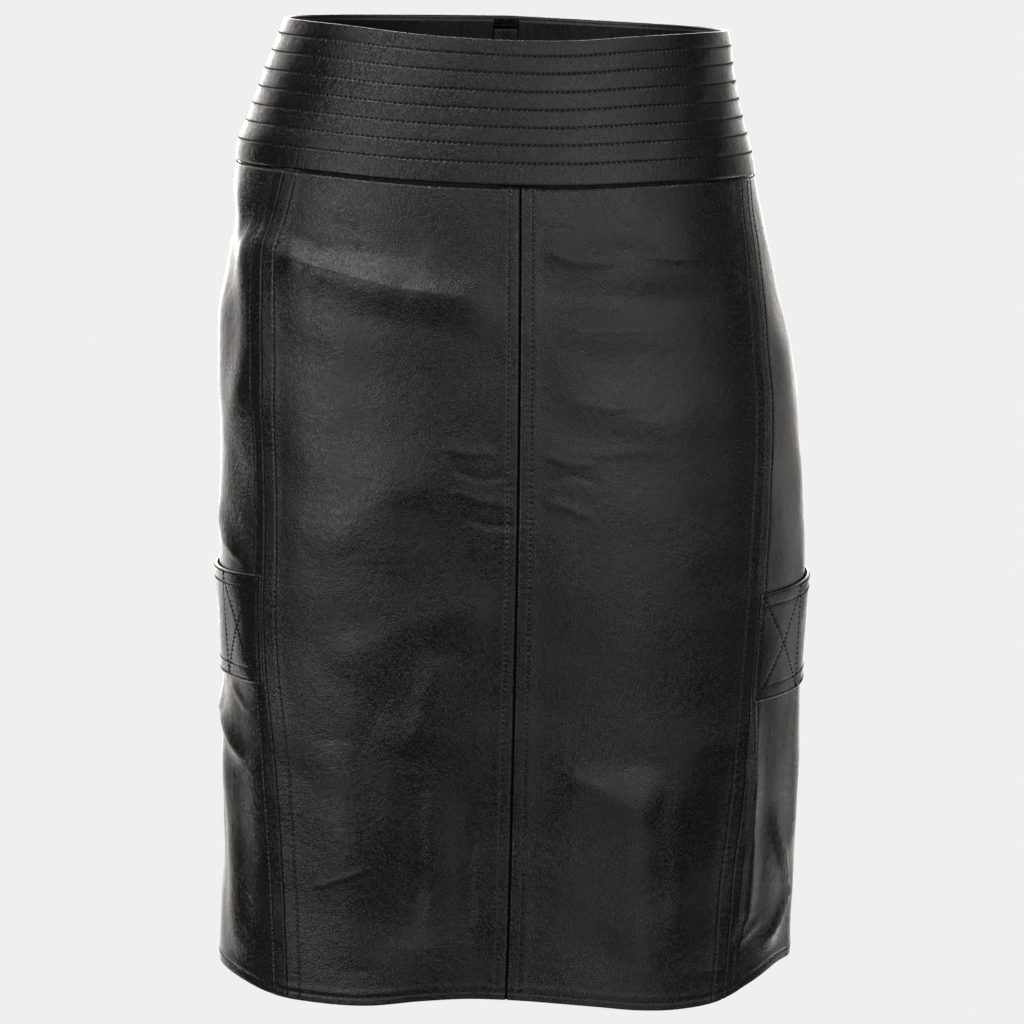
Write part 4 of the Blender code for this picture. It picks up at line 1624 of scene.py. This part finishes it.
        for share in self.inside_shares:
            level = self.columns(np.array([[share]]))
            parts_angle.append(level)
            parts_height.append(self.band_height(level, share))
            parts_out.append(np.full(level.shape, self.inside))
        strip = self.stands_out - 2.0 * self.rim
        add(self.turned_in - 0.8 * MM, strip + 0.5 * MM)
        add(self.turned_in, strip + 0.25 * MM)
        for drop in self.turned_points:
            close = bell(drop - self.edge_stitch[0], self.edge_stitch[1])
            add(drop * MM, strip - 0.16 * MM * gather * (1.0 - 0.4 * close) + 0.22 * MM * close)
        for turn in np.linspace(0.0, math.pi, self.rim_points)[1:-1]:
            roll = self.rim + self.rim * math.cos(turn) + self.rim_gather * gather * math.cos(turn / 2.0)
            add(self.rim * (1.0 - math.sin(turn)) * 0.9, self.stands_out - roll)
        angle, height, out = (np.concatenate(p) for p in (parts_angle, parts_height, parts_out))
        top_rows = len(parts_angle[0])
        points = FORM.point(angle, height, out)
        quads = loop_quads(*angle.shape)
        ends = np.arange(angle.size).reshape(angle.shape)
        faces = quads.tolist() + [ends[:, 0].tolist()[::-1], ends[:, -1].tolist()]
        piece = put_mesh(self.node + "_leather", points, faces)
        wear = np.zeros(angle.shape)
        wear[:top_rows] = 0.35 * bell(np.linspace(0.0, 1.0, top_rows)[:, None] - 1.0, 0.02)
        wear[-8:] = 0.7
        wear[0] = 0.5
        set_wear(piece, wear)
        return piece

    def support(self) -> str:
        """The facing behind the stretch."""
        return self.node.replace("waistband", "facing")


@dataclass
class FacingStretch(LeatherPiece):
    """One stretch of the facing inside the waistband."""

    gaps: tuple[float, float]

    SLOT = "facing_leather"
    FINISHES = ("facing",)
    ROWS = np.array([2.2, 4.2, 6.2, 7.4, 8.0, 8.8, 10.0, 12.0, 15.0, 19.0, 24.0, 30.0, 38.0, 46.0,
                     54.0, 62.0, 70.0, 76.0, 79.0, 80.5, 81.0]) * MM
    depth: float = 87.5 * MM
    column: float = 1.2 * MM
    mean_radius: float = 0.13
    wall: float = 0.9 * MM
    start: float = -1.75 * MM
    sag: float = 0.35 * MM
    gather: float = 0.32 * MM
    edge_row_at: tuple[float, ...] = (5.9 * MM, -2.52 * MM)

    def grid(self) -> tuple[Array, Array]:
        """Angles and heights of the grid, its rows stated as distances below the rim.

        Returns:
            Angles and heights.
        """
        share = (self.ROWS / self.depth)[:, None]

        def height_at(angle: Array) -> Array:
            """Heights of the rows at some angles."""
            rim = FORM.edge("rim", angle)
            return rim + share * (FORM.edge("yoke", angle) - rim)

        (left, low), (right, high) = (FORM.settled(name, height_at) for name in self.lines)
        left = left + self.gaps[0] * MM / FORM.metric(left, low)
        right = right - self.gaps[1] * MM / FORM.metric(right, high)
        count = int(round(float(np.median(right - left)) * self.mean_radius / self.column))
        angle = left + (right - left) * np.linspace(0.0, 1.0, count)[None, :]
        return angle, height_at(angle)

    def build(self) -> Piece:
        """Make the facing's wall; it sags inwards a little between its edges.

        Returns:
            The new object.
        """
        angle, height = self.grid()
        around = arc_length(FORM.point(angle, height, relief=False), axis=1)
        down = self.ROWS[:, None]
        sag = self.sag * np.sin(math.pi * np.clip(down / down[-1], 0.0, 1.0))
        ripple = Ripple(self.seed, 3.4 * MM, 8.0 * MM).at(around) * bell(down - 8.0 * MM, 7.0 * MM)
        broad = Ripple(self.seed + 1, 30.0 * MM, 80.0 * MM).at(around)
        inward = sag * (1.0 + 0.6 * broad) + self.gather * (ripple + 0.6)
        outer = FORM.point(angle, height, self.start)
        inner = FORM.point(angle, height, self.start - self.wall - inward)
        return slab_mesh(self.node + "_leather", outer, inner)

    def edge_row(self) -> StitchRow:
        """Edge stitch that holds the turned-in rim on the facing, seen from inside.

        Returns:
            The row.
        """
        angle = self.grid()[0][0]
        drop, out = self.edge_row_at
        return StitchRow(angle, FORM.edge("rim", angle) - drop, np.full(angle.shape, out))

    def support(self) -> str:
        """The waistband's stretch in front of the facing."""
        return self.node.replace("facing", "waistband")


@dataclass
class SideStrap(LeatherPiece):
    """Strap sewn flat over a side panel, with edge stitches and a crossed box at its ends."""

    side: int
    top_at_front: float
    top_at_side: float
    box: tuple[float, float]

    SLOT = "strap_leather"
    FINISHES = ("strap", "flesh")
    HELD = "laid"
    height: float = 66.4 * MM
    flare: float = 1.3 * MM
    end_inset: float = 1.8 * MM
    side_share: float = 0.4
    wall: float = 1.6 * MM
    off: float = 0.3 * MM
    roll: float = 1.0 * MM
    groove: float = 0.38 * MM
    groove_width: float = 0.7 * MM
    pucker: tuple[float, ...] = (0.05 * MM, 2.4 * MM)
    buckle: float = 0.14 * MM
    row_lift: float = 0.06 * MM
    edge_row: float = 1.6 * MM
    inner_row: float = 8.6 * MM
    row_ends: tuple[float, ...] = (0.012, 0.988)
    row_points: int = 150
    box_points: int = 50
    rubbed: tuple[float, ...] = (0.8, 0.9 * MM)
    EDGE = np.array([0.0, 0.1, 0.25, 0.5, 0.8]) * MM
    first_column: float = 1.3 * MM
    column: float = 1.15 * MM
    ROWS_DOWN = np.arange(1.2, 65.2, 0.9) * MM
    inner_step: int = 5

    def place(self, along: Array, down: Array) -> tuple[Array, Array]:
        """Angle and height at a share of the length from left to right and of the height.

        Args:
            along: shares of the length.
            down: shares of the height.

        Returns:
            Angles and heights.
        """
        front = along if self.side > 0 else 1.0 - along
        to_side = np.clip(front / self.side_share, 0.0, 1.0)
        top = (self.top_at_front + (self.top_at_side - self.top_at_front) * to_side) * MM
        height = top - down * self.height
        ends = [FORM.line(name, height) for name in self.lines]
        inset = self.end_inset / FORM.radius(ends[0], height)
        return ends[0] + inset + (ends[1] - ends[0] - 2.0 * inset) * along, height

    def base_out(self, along: Array, down: Array) -> Array:
        """Distance outwards of the strap's outer side, before what was sewn."""
        flare = self.flare * (1.0 - down) ** 2 * np.sin(math.pi * np.clip(along, 0.0, 1.0)) ** 2
        return self.off + self.wall + flare

    def length(self) -> float:
        """Length of the strap along its middle.

        Returns:
            The length in metres.
        """
        along = np.linspace(0.0, 1.0, 60)
        angle, height = self.place(along, np.full(60, 0.5))
        return float(arc_length(FORM.point(angle, height, relief=False))[-1])

    def strokes(self) -> list[tuple[Array, Array]]:
        """Stitch lines as shares along and down the strap.

        Two rows run along each long edge. At each end an upright row and two diagonals
        make a crossed box.

        Returns:
            Pairs of shares along and down.
        """
        run = np.linspace(*self.row_ends, self.row_points)
        rows = []
        for gap in (self.edge_row, self.inner_row):
            share = gap / self.height
            rows += [(run, np.full(self.row_points, level)) for level in (share, 1.0 - share)]
        top, low = self.edge_row / self.height, 1.0 - self.edge_row / self.height
        down = np.linspace(top, low, self.box_points)
        boxes = [self.box, tuple(1.0 - share for share in self.box)]
        for near, far in boxes if self.side > 0 else boxes[::-1]:
            rows += [(np.linspace(start, end, self.box_points), down)
                     for start, end in ((near, near), (far, far), (near, far), (far, near))]
        return rows

    def stitch_rows(self) -> list[StitchRow]:
        """The strap's stitch rows on the form.

        Returns:
            The rows.
        """
        found = []
        for along, down in self.strokes():
            angle, height = self.place(along, down)
            out = self.base_out(along, down) - self.groove + self.row_lift
            found.append(StitchRow(angle, height, out))
        return found

    def out(self, along: Array, down: Array) -> Array:
        """Outer side with rolled edges, grooves under its stitches and slight puckers.

        Args:
            along: shares of the length.
            down: shares of the height.

        Returns:
            Distances outwards in metres.
        """
        length = self.length()
        out = self.base_out(along, down)
        for edge in (down * self.height, (1.0 - down) * self.height, along * length,
                     (1.0 - along) * length):
            out = out - quarter_roll(edge, self.roll)
        x, y = along * length, down * self.height
        for row_along, row_down in self.strokes():
            x0, x1 = row_along[0] * length, row_along[-1] * length
            y0, y1 = row_down[0] * self.height, row_down[-1] * self.height
            run, drop = x1 - x0, y1 - y0
            t = ((x - x0) * run + (y - y0) * drop) / (run**2 + drop**2)
            t = np.clip(t, 0.0, 1.0)
            gap = np.hypot(x - x0 - t * run, y - y0 - t * drop)
            out = out - self.groove * bell(gap, self.groove_width)
            swell = Ripple(self.seed, 3.0 * MM, 6.0 * MM).at(t * np.hypot(run, drop))
            out = out + self.pucker[0] * swell * bell(gap, self.pucker[1])
        return out + self.buckle * Ripple(self.seed + 3, 22.0 * MM, 60.0 * MM, 5).at(x + 0.6 * y)

    def build(self) -> Piece:
        """Make the strap's wall.

        Returns:
            The new object.
        """
        length = self.length()
        inside = np.linspace(self.first_column, length - self.first_column, int(length / self.column))
        down = np.concatenate([self.EDGE, self.ROWS_DOWN, self.height - self.EDGE[::-1]])
        down = (down / self.height)[:, None]
        along = (np.concatenate([self.EDGE, inside, length - self.EDGE[::-1]]) / length)[None, :]
        angle, height = self.place(along, down)
        outer = FORM.point(angle, height, self.out(along, down))
        rows, columns = (kept_of(count, self.inner_step) for count in angle.shape)
        pick = np.ix_(rows, columns)
        behind = (self.base_out(along, down) - self.wall)[pick]
        inner = FORM.point(angle[pick], height[pick], behind)
        piece = wall_mesh(self.node + "_leather", outer, inner, rows, columns)
        near = np.minimum(down, 1.0 - down) * self.height + 0.0 * along
        set_wear(piece, self.rubbed[0] * bell(near, self.rubbed[1]))
        return piece

    def support(self) -> str:
        """The side panel under the strap."""
        return self.node.replace("strap", "side")


@dataclass
class ConcealedZip:
    """Closed concealed zip behind the centre back: tape and coil, slider and hinged pull."""

    top: float = -5.0 * MM
    length: float = 185.0 * MM
    width: float = 15.0 * MM
    thickness: float = 0.55 * MM
    start: float = -2.0 * MM
    coil_pitch: float = 1.5 * MM
    coil_width: float = 4.4 * MM
    coil_wire: float = 0.55 * MM
    coil_deep: float = 0.5 * MM
    coil_behind: float = 0.75 * MM
    coil_lean: float = 0.18 * MM
    coil_rings: tuple[int, ...] = (12, 4)
    tape_points: tuple[int, ...] = (75, 17)
    tape_bulge: tuple[float, ...] = (0.25 * MM, 2.4 * MM)
    ball_points: tuple[int, ...] = (18, 36)
    ring_points: tuple[int, ...] = (40, 14)
    pull_points: int = 64
    pull_bevel: float = 0.22 * MM
    plate_square: float = 4.5
    plate: tuple[float, ...] = (1.9 * MM, 4.1 * MM, 0.8 * MM)
    ring: tuple[float, ...] = (1.75 * MM, 0.58 * MM)
    ring_out: float = 1.95 * MM
    pull_size: tuple[float, ...] = (4.2 * MM, 6.4 * MM, 21.0 * MM, 0.95 * MM)
    slot: tuple[float, ...] = (2.2 * MM, 3.2 * MM)
    bar: float = 1.2 * MM

    def tape(self, wardrobe: Wardrobe) -> Piece:
        """Tape: a thin wall behind the two back edges, with a UV map in metres.

        Args:
            wardrobe: the finishes.

        Returns:
            The new object.
        """
        share = np.linspace(0.0, 1.0, self.tape_points[0])[:, None]
        height = self.top - share * self.length
        middle = FORM.line("zip_from_right", height)
        across = np.linspace(-0.5, 0.5, self.tape_points[1])[None, :]
        angle = middle + across * self.width / FORM.metric(middle, height)
        height = np.broadcast_to(height, angle.shape)
        bulge = self.tape_bulge[0] * bell(across * self.width, self.tape_bulge[1])
        outer = FORM.point(angle, height, self.start)
        inner = FORM.point(angle, height, self.start - self.thickness - bulge)
        piece = slab_mesh("zip_tape_cloth", outer, inner)
        flat = np.stack(np.broadcast_arrays(across * self.width, share * self.length), axis=-1)
        places = np.concatenate([flat.reshape(-1, 2)] * 2)
        corners = np.zeros(len(piece.data.loops), np.int32)
        piece.data.loops.foreach_get("vertex_index", corners)
        layer = piece.data.uv_layers.new(name="tape")
        layer.data.foreach_set("uv", places[corners].astype(np.float32).ravel())
        dress(piece, "zip_tape", "skirt", wardrobe.tape)
        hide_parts("zip_tape")
        return piece

    def coil(self, wardrobe: Wardrobe) -> Piece:
        """Coil: one flattened loop of monofilament for each turn, along the tape.

        Args:
            wardrobe: the finishes.

        Returns:
            The new object.
        """
        turns = int(self.length / self.coil_pitch) - 1
        height = self.top - (np.arange(turns) + 0.8) * self.coil_pitch
        angle = FORM.line("zip_from_right", height)
        centre = FORM.point(angle, height, self.start - self.thickness - self.coil_behind)
        outward = FORM.point(angle, height, MM, relief=False) - FORM.point(angle, height, relief=False)
        outward /= np.linalg.norm(outward, axis=-1, keepdims=True)
        up = np.broadcast_to([0.0, 0.0, 1.0], outward.shape)
        along = np.cross(up, outward)
        rings, sides = self.coil_rings
        turn = full_turn(rings)[None, :, None, None]
        around = full_turn(sides)[None, None, :, None]
        spread = self.coil_width / 2.0 + self.coil_wire / 2.0 * np.cos(around)
        deep = self.coil_deep + self.coil_wire / 2.0 * np.cos(around)
        a, o, u = (v[:, None, None, :] for v in (along, outward, up))
        points = centre[:, None, None, :] + a * spread * np.cos(turn) + o * deep * np.sin(turn)
        points = points + u * (self.coil_wire / 2.0 * np.sin(around) + self.coil_lean * np.sin(turn))
        one = closed_both_ways(rings, sides)[:, ::-1]
        faces = (one[None] + np.arange(turns)[:, None, None] * rings * sides).reshape(-1, 4)
        piece = put_mesh("zip_coil", points, faces.tolist())
        dress(piece, "zip_tape", "skirt", wardrobe.thread)
        return piece

    def hinge(self) -> Matrix:
        """Frame on the pull's hinge: X along the axis, Y outwards, Z up the cloth.

        Returns:
            The frame.
        """
        joint = frame["joints"][0]
        x, place = np.array(joint["axis"]), np.array(joint["pos_m"])
        heights = place[2] + np.array([-MM, MM])
        low, high = FORM.point(FORM.line("zip_from_right", heights), heights, relief=False)
        up = (high - low) / np.linalg.norm(high - low)
        away = np.cross(up, x)
        away /= np.linalg.norm(away)
        up = np.cross(x, away)
        matrix = np.eye(4)
        matrix[:3, 0], matrix[:3, 1], matrix[:3, 2], matrix[:3, 3] = x, away, up, place
        return Matrix(matrix.tolist())

    def rounded_box(self, half: tuple[float, float, float], square: float) -> tuple[Array, list]:
        """Superellipsoid: a box with round edges, closed at its two poles.

        Each coordinate is half its size times the signed power 2 / square of the sphere's.

        Args:
            half: half its size along X, Y and Z, in metres.
            square: 2 for an ellipsoid, more for a squarer form.

        Returns:
            Points and faces.
        """
        rows, columns = self.ball_points
        v = (np.arange(rows) + 0.5)[:, None] / rows * math.pi
        u = full_turn(columns)[None, :]
        ball = np.stack(np.broadcast_arrays(np.sin(v) * np.cos(u), np.sin(v) * np.sin(u), np.cos(v)), -1)
        points = np.sign(ball) * np.abs(ball) ** (2.0 / square) * np.array(half)
        index = np.arange(rows * columns).reshape(rows, columns)
        right = np.roll(index, -1, axis=1)
        quads = np.stack([index[:-1], index[1:], right[1:], right[:-1]], axis=-1).reshape(-1, 4)
        faces = quads.tolist() + [index[0].tolist(), index[-1, ::-1].tolist()]
        return points.reshape(-1, 3), faces

    def slider(self, wardrobe: Wardrobe) -> Piece:
        """Slider: a rounded plate with a bridge that the pull hangs in.

        Args:
            wardrobe: the finishes.

        Returns:
            The new object.
        """
        wide, tall, thick = self.plate
        plate, faces = self.rounded_box((wide, thick / 2.0, tall), self.plate_square)
        plate = plate + (0.0, thick / 2.0 - self.ring_out, 0.0)
        turn, around = full_turn(self.ring_points[0])[:, None], full_turn(self.ring_points[1])[None, :]
        reach = self.ring[0] + self.ring[1] * np.cos(around)
        ring = np.stack(np.broadcast_arrays(self.ring[1] * np.sin(around), reach * np.cos(turn),
                                            reach * np.sin(turn)), axis=-1)
        loops = closed_both_ways(*self.ring_points) + len(plate)
        piece = put_mesh("zip_slider_metal", np.concatenate([plate, ring.reshape(-1, 3)]),
                         faces + loops.tolist())
        piece.data.transform(self.hinge())
        dress(piece, "zip_metal", "skirt", wardrobe.metal)
        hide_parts("zip_slider")
        return piece

    def drop(self, top_width: float, low_width: float, top: float, low: float, turn: Array) -> Array:
        """Outline of a drop: a small half circle above a larger one, joined by straight sides.

        Args:
            top_width: width of the upper half circle.
            low_width: width of the lower half circle.
            top: height of its top.
            low: height of its bottom.
            turn: angle from the +X side round to the same place.

        Returns:
            Points across and up, in metres.
        """
        upper = np.sin(turn) >= 0.0
        radius = np.where(upper, top_width, low_width) / 2.0
        centre = np.where(upper, top - top_width / 2.0, low + low_width / 2.0)
        return np.stack([radius * np.cos(turn), centre + radius * np.sin(turn)], axis=-1)

    def pull(self, wardrobe: Wardrobe) -> Piece:
        """Pull tab: a drop with a slot, its section rounded at both outlines.

        Args:
            wardrobe: the finishes.

        Returns:
            The new object.
        """
        top_width, low_width, length, thickness = self.pull_size
        top = self.bar / 2.0
        turn = (np.arange(self.pull_points) + 0.5) / self.pull_points * FULL_TURN
        outside = self.drop(top_width, low_width, top, top - length, turn)
        slot_top = -self.bar / 2.0
        inside = self.drop(self.slot[0], self.slot[0], slot_top, slot_top - self.slot[1], turn)
        inward = outside - np.array([0.0, (top - length) * 0.5])
        inward = -inward / np.linalg.norm(inward, axis=-1, keepdims=True)
        half, bevel = thickness / 2.0, self.pull_bevel
        rings = []
        for share, inset, depth in ((0.0, 0.0, -half + bevel), (0.0, bevel * 0.3, -half + bevel * 0.3),
                                    (0.0, bevel, -half), (0.5, 0.0, -half), (1.0, -bevel, -half),
                                    (1.0, 0.0, -half + bevel), (1.0, 0.0, half - bevel),
                                    (1.0, -bevel, half), (0.5, 0.0, half), (0.0, bevel, half),
                                    (0.0, bevel * 0.3, half - bevel * 0.3), (0.0, 0.0, half - bevel)):
            flat = outside + (inside - outside) * share + inward * inset
            rings.append(np.stack([flat[:, 0], np.full(len(flat), depth), flat[:, 1]], axis=-1))
        faces = closed_both_ways(len(rings), self.pull_points)
        piece = put_mesh("zip_pull_metal", np.stack(rings), faces.tolist())
        piece.data.transform(self.hinge())
        dress(piece, "zip_metal", "pull", wardrobe.metal)
        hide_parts("zip_pull")
        return piece

    def make(self, wardrobe: Wardrobe) -> None:
        """Build and dress every part of the zip.

        Args:
            wardrobe: the finishes.
        """
        for part in (self.tape, self.coil, self.slider, self.pull):
            piece = part(wardrobe)
            LOG.info("%s: %d faces", piece.name, len(piece.data.polygons))


# -------------------------------------------------------------------------- the studio


@dataclass(frozen=True)
class SoftLight:
    """One soft light of the studio, as seen from the skirt: where it is and how bright."""

    azimuth: float
    elevation: float
    inner: float
    outer: float
    radiance: float

    def way(self) -> tuple[float, float, float]:
        """Direction to the light; azimuth 0 is in front of the skirt and 90 at +X."""
        a, e = math.radians(self.azimuth), math.radians(self.elevation)
        return (math.sin(a) * math.cos(e), -math.cos(a) * math.cos(e), math.sin(e))


@dataclass(frozen=True)
class Studio:
    """Pale backdrop and floor, soft light from front, above and all round the back."""

    backdrop: str = "#EFEFEF"
    fill: float = 0.08
    tint: str = "#E7E4DF"
    floor: str = "#F4F4F4"
    floor_height: float = -1.02
    floor_reach: float = 60.0
    floor_fade: tuple[float, float] = (0.45, 1.5)
    lights: tuple[SoftLight, ...] = tuple(SoftLight(*row) for row in (
        (-170, 10, 3, 22, 6), (170, 10, 3, 22, 3.4), (180, -10, 3, 22, 3),
        (-150, 2, 6, 22, 2.4), (-140, 30, 3, 22, 2.4), (-140, -32, 3, 20, 5),
        (140, -32, 3, 20, 4.5), (145, 8, 3, 21, 1.1), (120, -10, 3, 20, 1.1),
        (-50, 2, 3, 16, 4.6), (-30, 7, 3, 18, 1.6), (10, 8, 3, 18, 1.4),
        (30, 9, 3, 19, 2.1), (45, 28, 3, 20, 1), (0, 32, 3, 18, 0.8),
        (20, -32, 3, 20, 1.2), (70, 56, 3, 20, 3.4), (60, 10, 3, 18, 0.8),
        (-45, 46, 3, 12, 8), (-23, 39, 4, 12, 7), (-67, 40, 3, 11, 8),
    ))

    def build_world(self) -> None:
        """Make the light: for camera rays the plain backdrop, for all others the studio.

        Each soft light is a smooth step on the cosine between a ray and its direction.
        """
        world = bpy.data.worlds.new("studio")
        bpy.context.scene.world = world
        world.use_nodes = True
        tree = world.node_tree
        tree.nodes.clear()
        ray = add_node(tree, "TexCoord").outputs["Generated"]
        total = self.fill
        for light in self.lights:
            cosine = add_node(tree, "VectorMath", {"operation": "DOT_PRODUCT"},
                              {0: ray, 1: light.way()})
            glow = add_node(tree, "MapRange", SMOOTH,
                            {"Value": cosine.outputs["Value"],
                             "From Min": math.cos(math.radians(light.outer)),
                             "From Max": math.cos(math.radians(light.inner)),
                             "To Max": light.radiance})
            added = add_node(tree, "Math", {"operation": "ADD"},
                             {0: glow.outputs["Result"], 1: total})
            total = added.outputs["Value"]
        studio = add_node(tree, "Background", None,
                          {"Color": linear(self.tint), "Strength": total})
        plain = add_node(tree, "Background", None, {"Color": linear(self.backdrop)})
        seen = add_node(tree, "LightPath").outputs["Is Camera Ray"]
        mixed = add_node(tree, "MixShader", None,
                         {0: seen, 1: studio.outputs[0], 2: plain.outputs[0]})
        add_node(tree, "OutputWorld", None, {"Surface": mixed.outputs[0]})

    def build_floor(self) -> None:
        """Pale floor well below the hem, which turns into the backdrop's tone far out."""
        reach = self.floor_reach
        points = np.array([(-reach, -reach, 0.0), (reach, -reach, 0.0), (reach, reach, 0.0),
                           (-reach, reach, 0.0)]) + (0.0, 0.0, self.floor_height)
        floor = put_mesh("floor", points, [[0, 1, 2, 3]])
        material, tree, shader = new_tree("painted_studio_floor")
        place = add_node(tree, "TexCoord").outputs["Object"]
        away = add_node(tree, "VectorMath", {"operation": "DISTANCE"},
                        {0: place, 1: (0.0, 0.0, self.floor_height)})
        far = add_node(tree, "MapRange", SMOOTH,
                       {"Value": away.outputs["Value"], "From Min": self.floor_fade[0],
                        "From Max": self.floor_fade[1]})
        set_inputs(tree, shader, {"Base Color": linear(self.floor), "Roughness": 0.9,
                                  "Emission Color": linear(self.backdrop), "Emission Strength": 0.5})
        glow = add_node(tree, "Emission", None, {"Color": linear(self.backdrop)})
        mixed = add_node(tree, "MixShader", None,
                         {0: far.outputs["Result"], 1: shader.outputs[0], 2: glow.outputs[0]})
        tree.links.new(mixed.outputs[0], tree.nodes["Material Output"].inputs["Surface"])
        floor.data.materials.append(material)
        floor.visible_glossy = False
        floor.visible_diffuse = False


@dataclass(frozen=True)
class PhotoCamera:
    """Camera at the photograph's viewing angle: a long lens, from slightly above."""

    place: tuple[float, float, float] = (0.010482, -2.80, 0.04)
    down: float = 0.121503
    roll: float = math.radians(1.3)
    pixels_per_turn: float = 4538.09
    picture: float = 1024.0
    sensor: float = 36.0

    def build(self) -> None:
        """Make the camera and let the scene look through it."""
        ahead = np.array([0.0, math.cos(self.down), -math.sin(self.down)])
        level = np.array([1.0, 0.0, 0.0])
        upright = np.array([0.0, math.sin(self.down), math.cos(self.down)])
        right = math.cos(self.roll) * level + math.sin(self.roll) * upright
        up = -math.sin(self.roll) * level + math.cos(self.roll) * upright
        matrix = np.eye(4)
        matrix[:3, 0], matrix[:3, 1], matrix[:3, 2], matrix[:3, 3] = right, up, -ahead, self.place
        data = bpy.data.cameras.new("photo_camera")
        data.sensor_width = self.sensor
        data.lens = self.pixels_per_turn * self.sensor / self.picture
        data.clip_start = 0.1
        data.clip_end = 200.0
        camera = bpy.data.objects.new("photo_camera", data)
        camera.matrix_world = Matrix(matrix.tolist())
        bpy.context.scene.collection.objects.link(camera)
        bpy.context.scene.camera = camera


# ---------------------------------------------------------------------------- assembly


PANELS = (
    LongPanel("front_left", ("left", "middle"), (0.168, 0.512), 0.080, 100, (8.9, 6.6), 3.0 * MM),
    LongPanel("front_right", ("middle", "right"), (0.176, 0.512), 0.082, 200, (7.4, 8.2), 3.0 * MM),
    LongPanel("side_left", ("back_left", "left"), (0.222, 0.512), 0.098, 300, (8.0, 9.0)),
    LongPanel("side_right", ("right", "back_right"), (0.222, 0.512), 0.098, 400, (6.4, 8.0)),
    LongPanel("back_left", ("zip_from_left", "back_left"), (0.172, 0.512), 0.078, 500, (0.0, 8.0)),
    LongPanel("back_right", ("back_right", "zip_from_right"), (0.172, 0.512), 0.078, 600, (8.0, 0.0)),
)

AROUND_FRONT = ("side_left", "side_right")
BEHIND_LEFT = ("zip_from_left", "side_left")
BEHIND_RIGHT = ("side_right", "zip_from_right")

BANDS = (
    BandStretch("waistband_front", AROUND_FRONT, (0.53, 0.105), 0.052, 700),
    BandStretch("waistband_back_left", BEHIND_LEFT, (0.25, 0.105), 0.0245, 800),
    BandStretch("waistband_back_right", BEHIND_RIGHT, (0.25, 0.105), 0.0245, 900),
)

FACINGS = (
    FacingStretch("facing_front", AROUND_FRONT, (0.51, 0.09), 0.041, 710, (0.2, 0.2)),
    FacingStretch("facing_back_left", BEHIND_LEFT, (0.23, 0.09), 0.0185, 810, (8.1, 0.2)),
    FacingStretch("facing_back_right", BEHIND_RIGHT, (0.23, 0.09), 0.0185, 910, (0.2, 8.1)),
)

STRAPS = (
    SideStrap("strap_left", ("back_left", "left"), (0.215, 0.067), 0.0142, 30, -1, -334.2, -336.0,
              (0.012, 0.23)),
    SideStrap("strap_right", ("right", "back_right"), (0.215, 0.067), 0.0142, 60, 1, -339.0, -333.6,
              (0.012, 0.25)),
)

SCUFFS = ((0.148, -0.066, -0.270), (0.146, -0.069, -0.279), (0.131, -0.080, -0.311),
          (0.129, -0.081, -0.322))


def make_wardrobe() -> Wardrobe:
    """Make the finishes; only the long panels carry the scuffs.

    Returns:
        The finishes.
    """
    body = LeatherFinish("black_nappa", "#0F0F0E", "#2A2826", "#34312F", (0.20, 0.30), scuffs=SCUFFS)
    strap = LeatherFinish("black_nappa_strap", "#0F0F0E", "#262422", "#3C3936", (0.20, 0.30))
    band = LeatherFinish("black_nappa_band", "#0F0F0E", "#232221", "#34312F", (0.18, 0.28), warm="#2B2623")
    facing = LeatherFinish("black_nappa_facing", "#121110", "#21201E", "#2E2B28", (0.36, 0.46))
    flesh = SuedeFinish("black_flesh_side", "#141313", "#2A2827")
    return Wardrobe(body.material(), strap.material(), band.material(), facing.material(),
                    flesh.material(), ThreadFinish().material(), TapeFinish().material(),
                    GunmetalFinish().material())


def sew(wardrobe: Wardrobe) -> None:
    """Make every stitch, in one mesh for each part of the skirt.

    Args:
        wardrobe: the finishes.
    """
    seams = Sewing("thread_of_the_long_seams", "black_leather")
    hem = Sewing("thread_of_the_hem", "black_leather")
    yoke = Sewing("thread_of_the_yoke_seam", "black_leather", thread=0.8 * MM, shown=0.5)
    for panel in PANELS:
        seams.rows += panel.seam_rows()
        yoke.rows.append(panel.yoke_row())
        hem.rows.append(panel.hem_row())
    band = Sewing("thread_of_the_waistband", "waistband_leather")
    for stretch in BANDS:
        band.rows += stretch.rows()
    straps = Sewing("thread_of_the_straps", "strap_leather")
    for strap in STRAPS:
        straps.rows += strap.stitch_rows()
    facing = Sewing("thread_of_the_facing", "facing_leather")
    for stretch in FACINGS:
        facing.rows.append(stretch.edge_row())
    for i, group in enumerate((seams, hem, band, straps, facing, yoke)):
        piece = group.build(1000 * (i + 1))
        dress(piece, group.slot, "skirt", wardrobe.thread)


def main() -> None:
    """Build the studio and every piece of the skirt, in order."""
    logging.basicConfig(level=logging.INFO, format="%(name)s: %(message)s")
    bpy.context.scene.view_settings.view_transform = "Standard"
    PhotoCamera().build()
    studio = Studio()
    studio.build_world()
    studio.build_floor()
    wardrobe = make_wardrobe()
    for piece in (*PANELS, *BANDS, *FACINGS, *STRAPS):
        piece.make(wardrobe)
    ConcealedZip().make(wardrobe)
    sew(wardrobe)


if __name__ == "__main__":
    main()
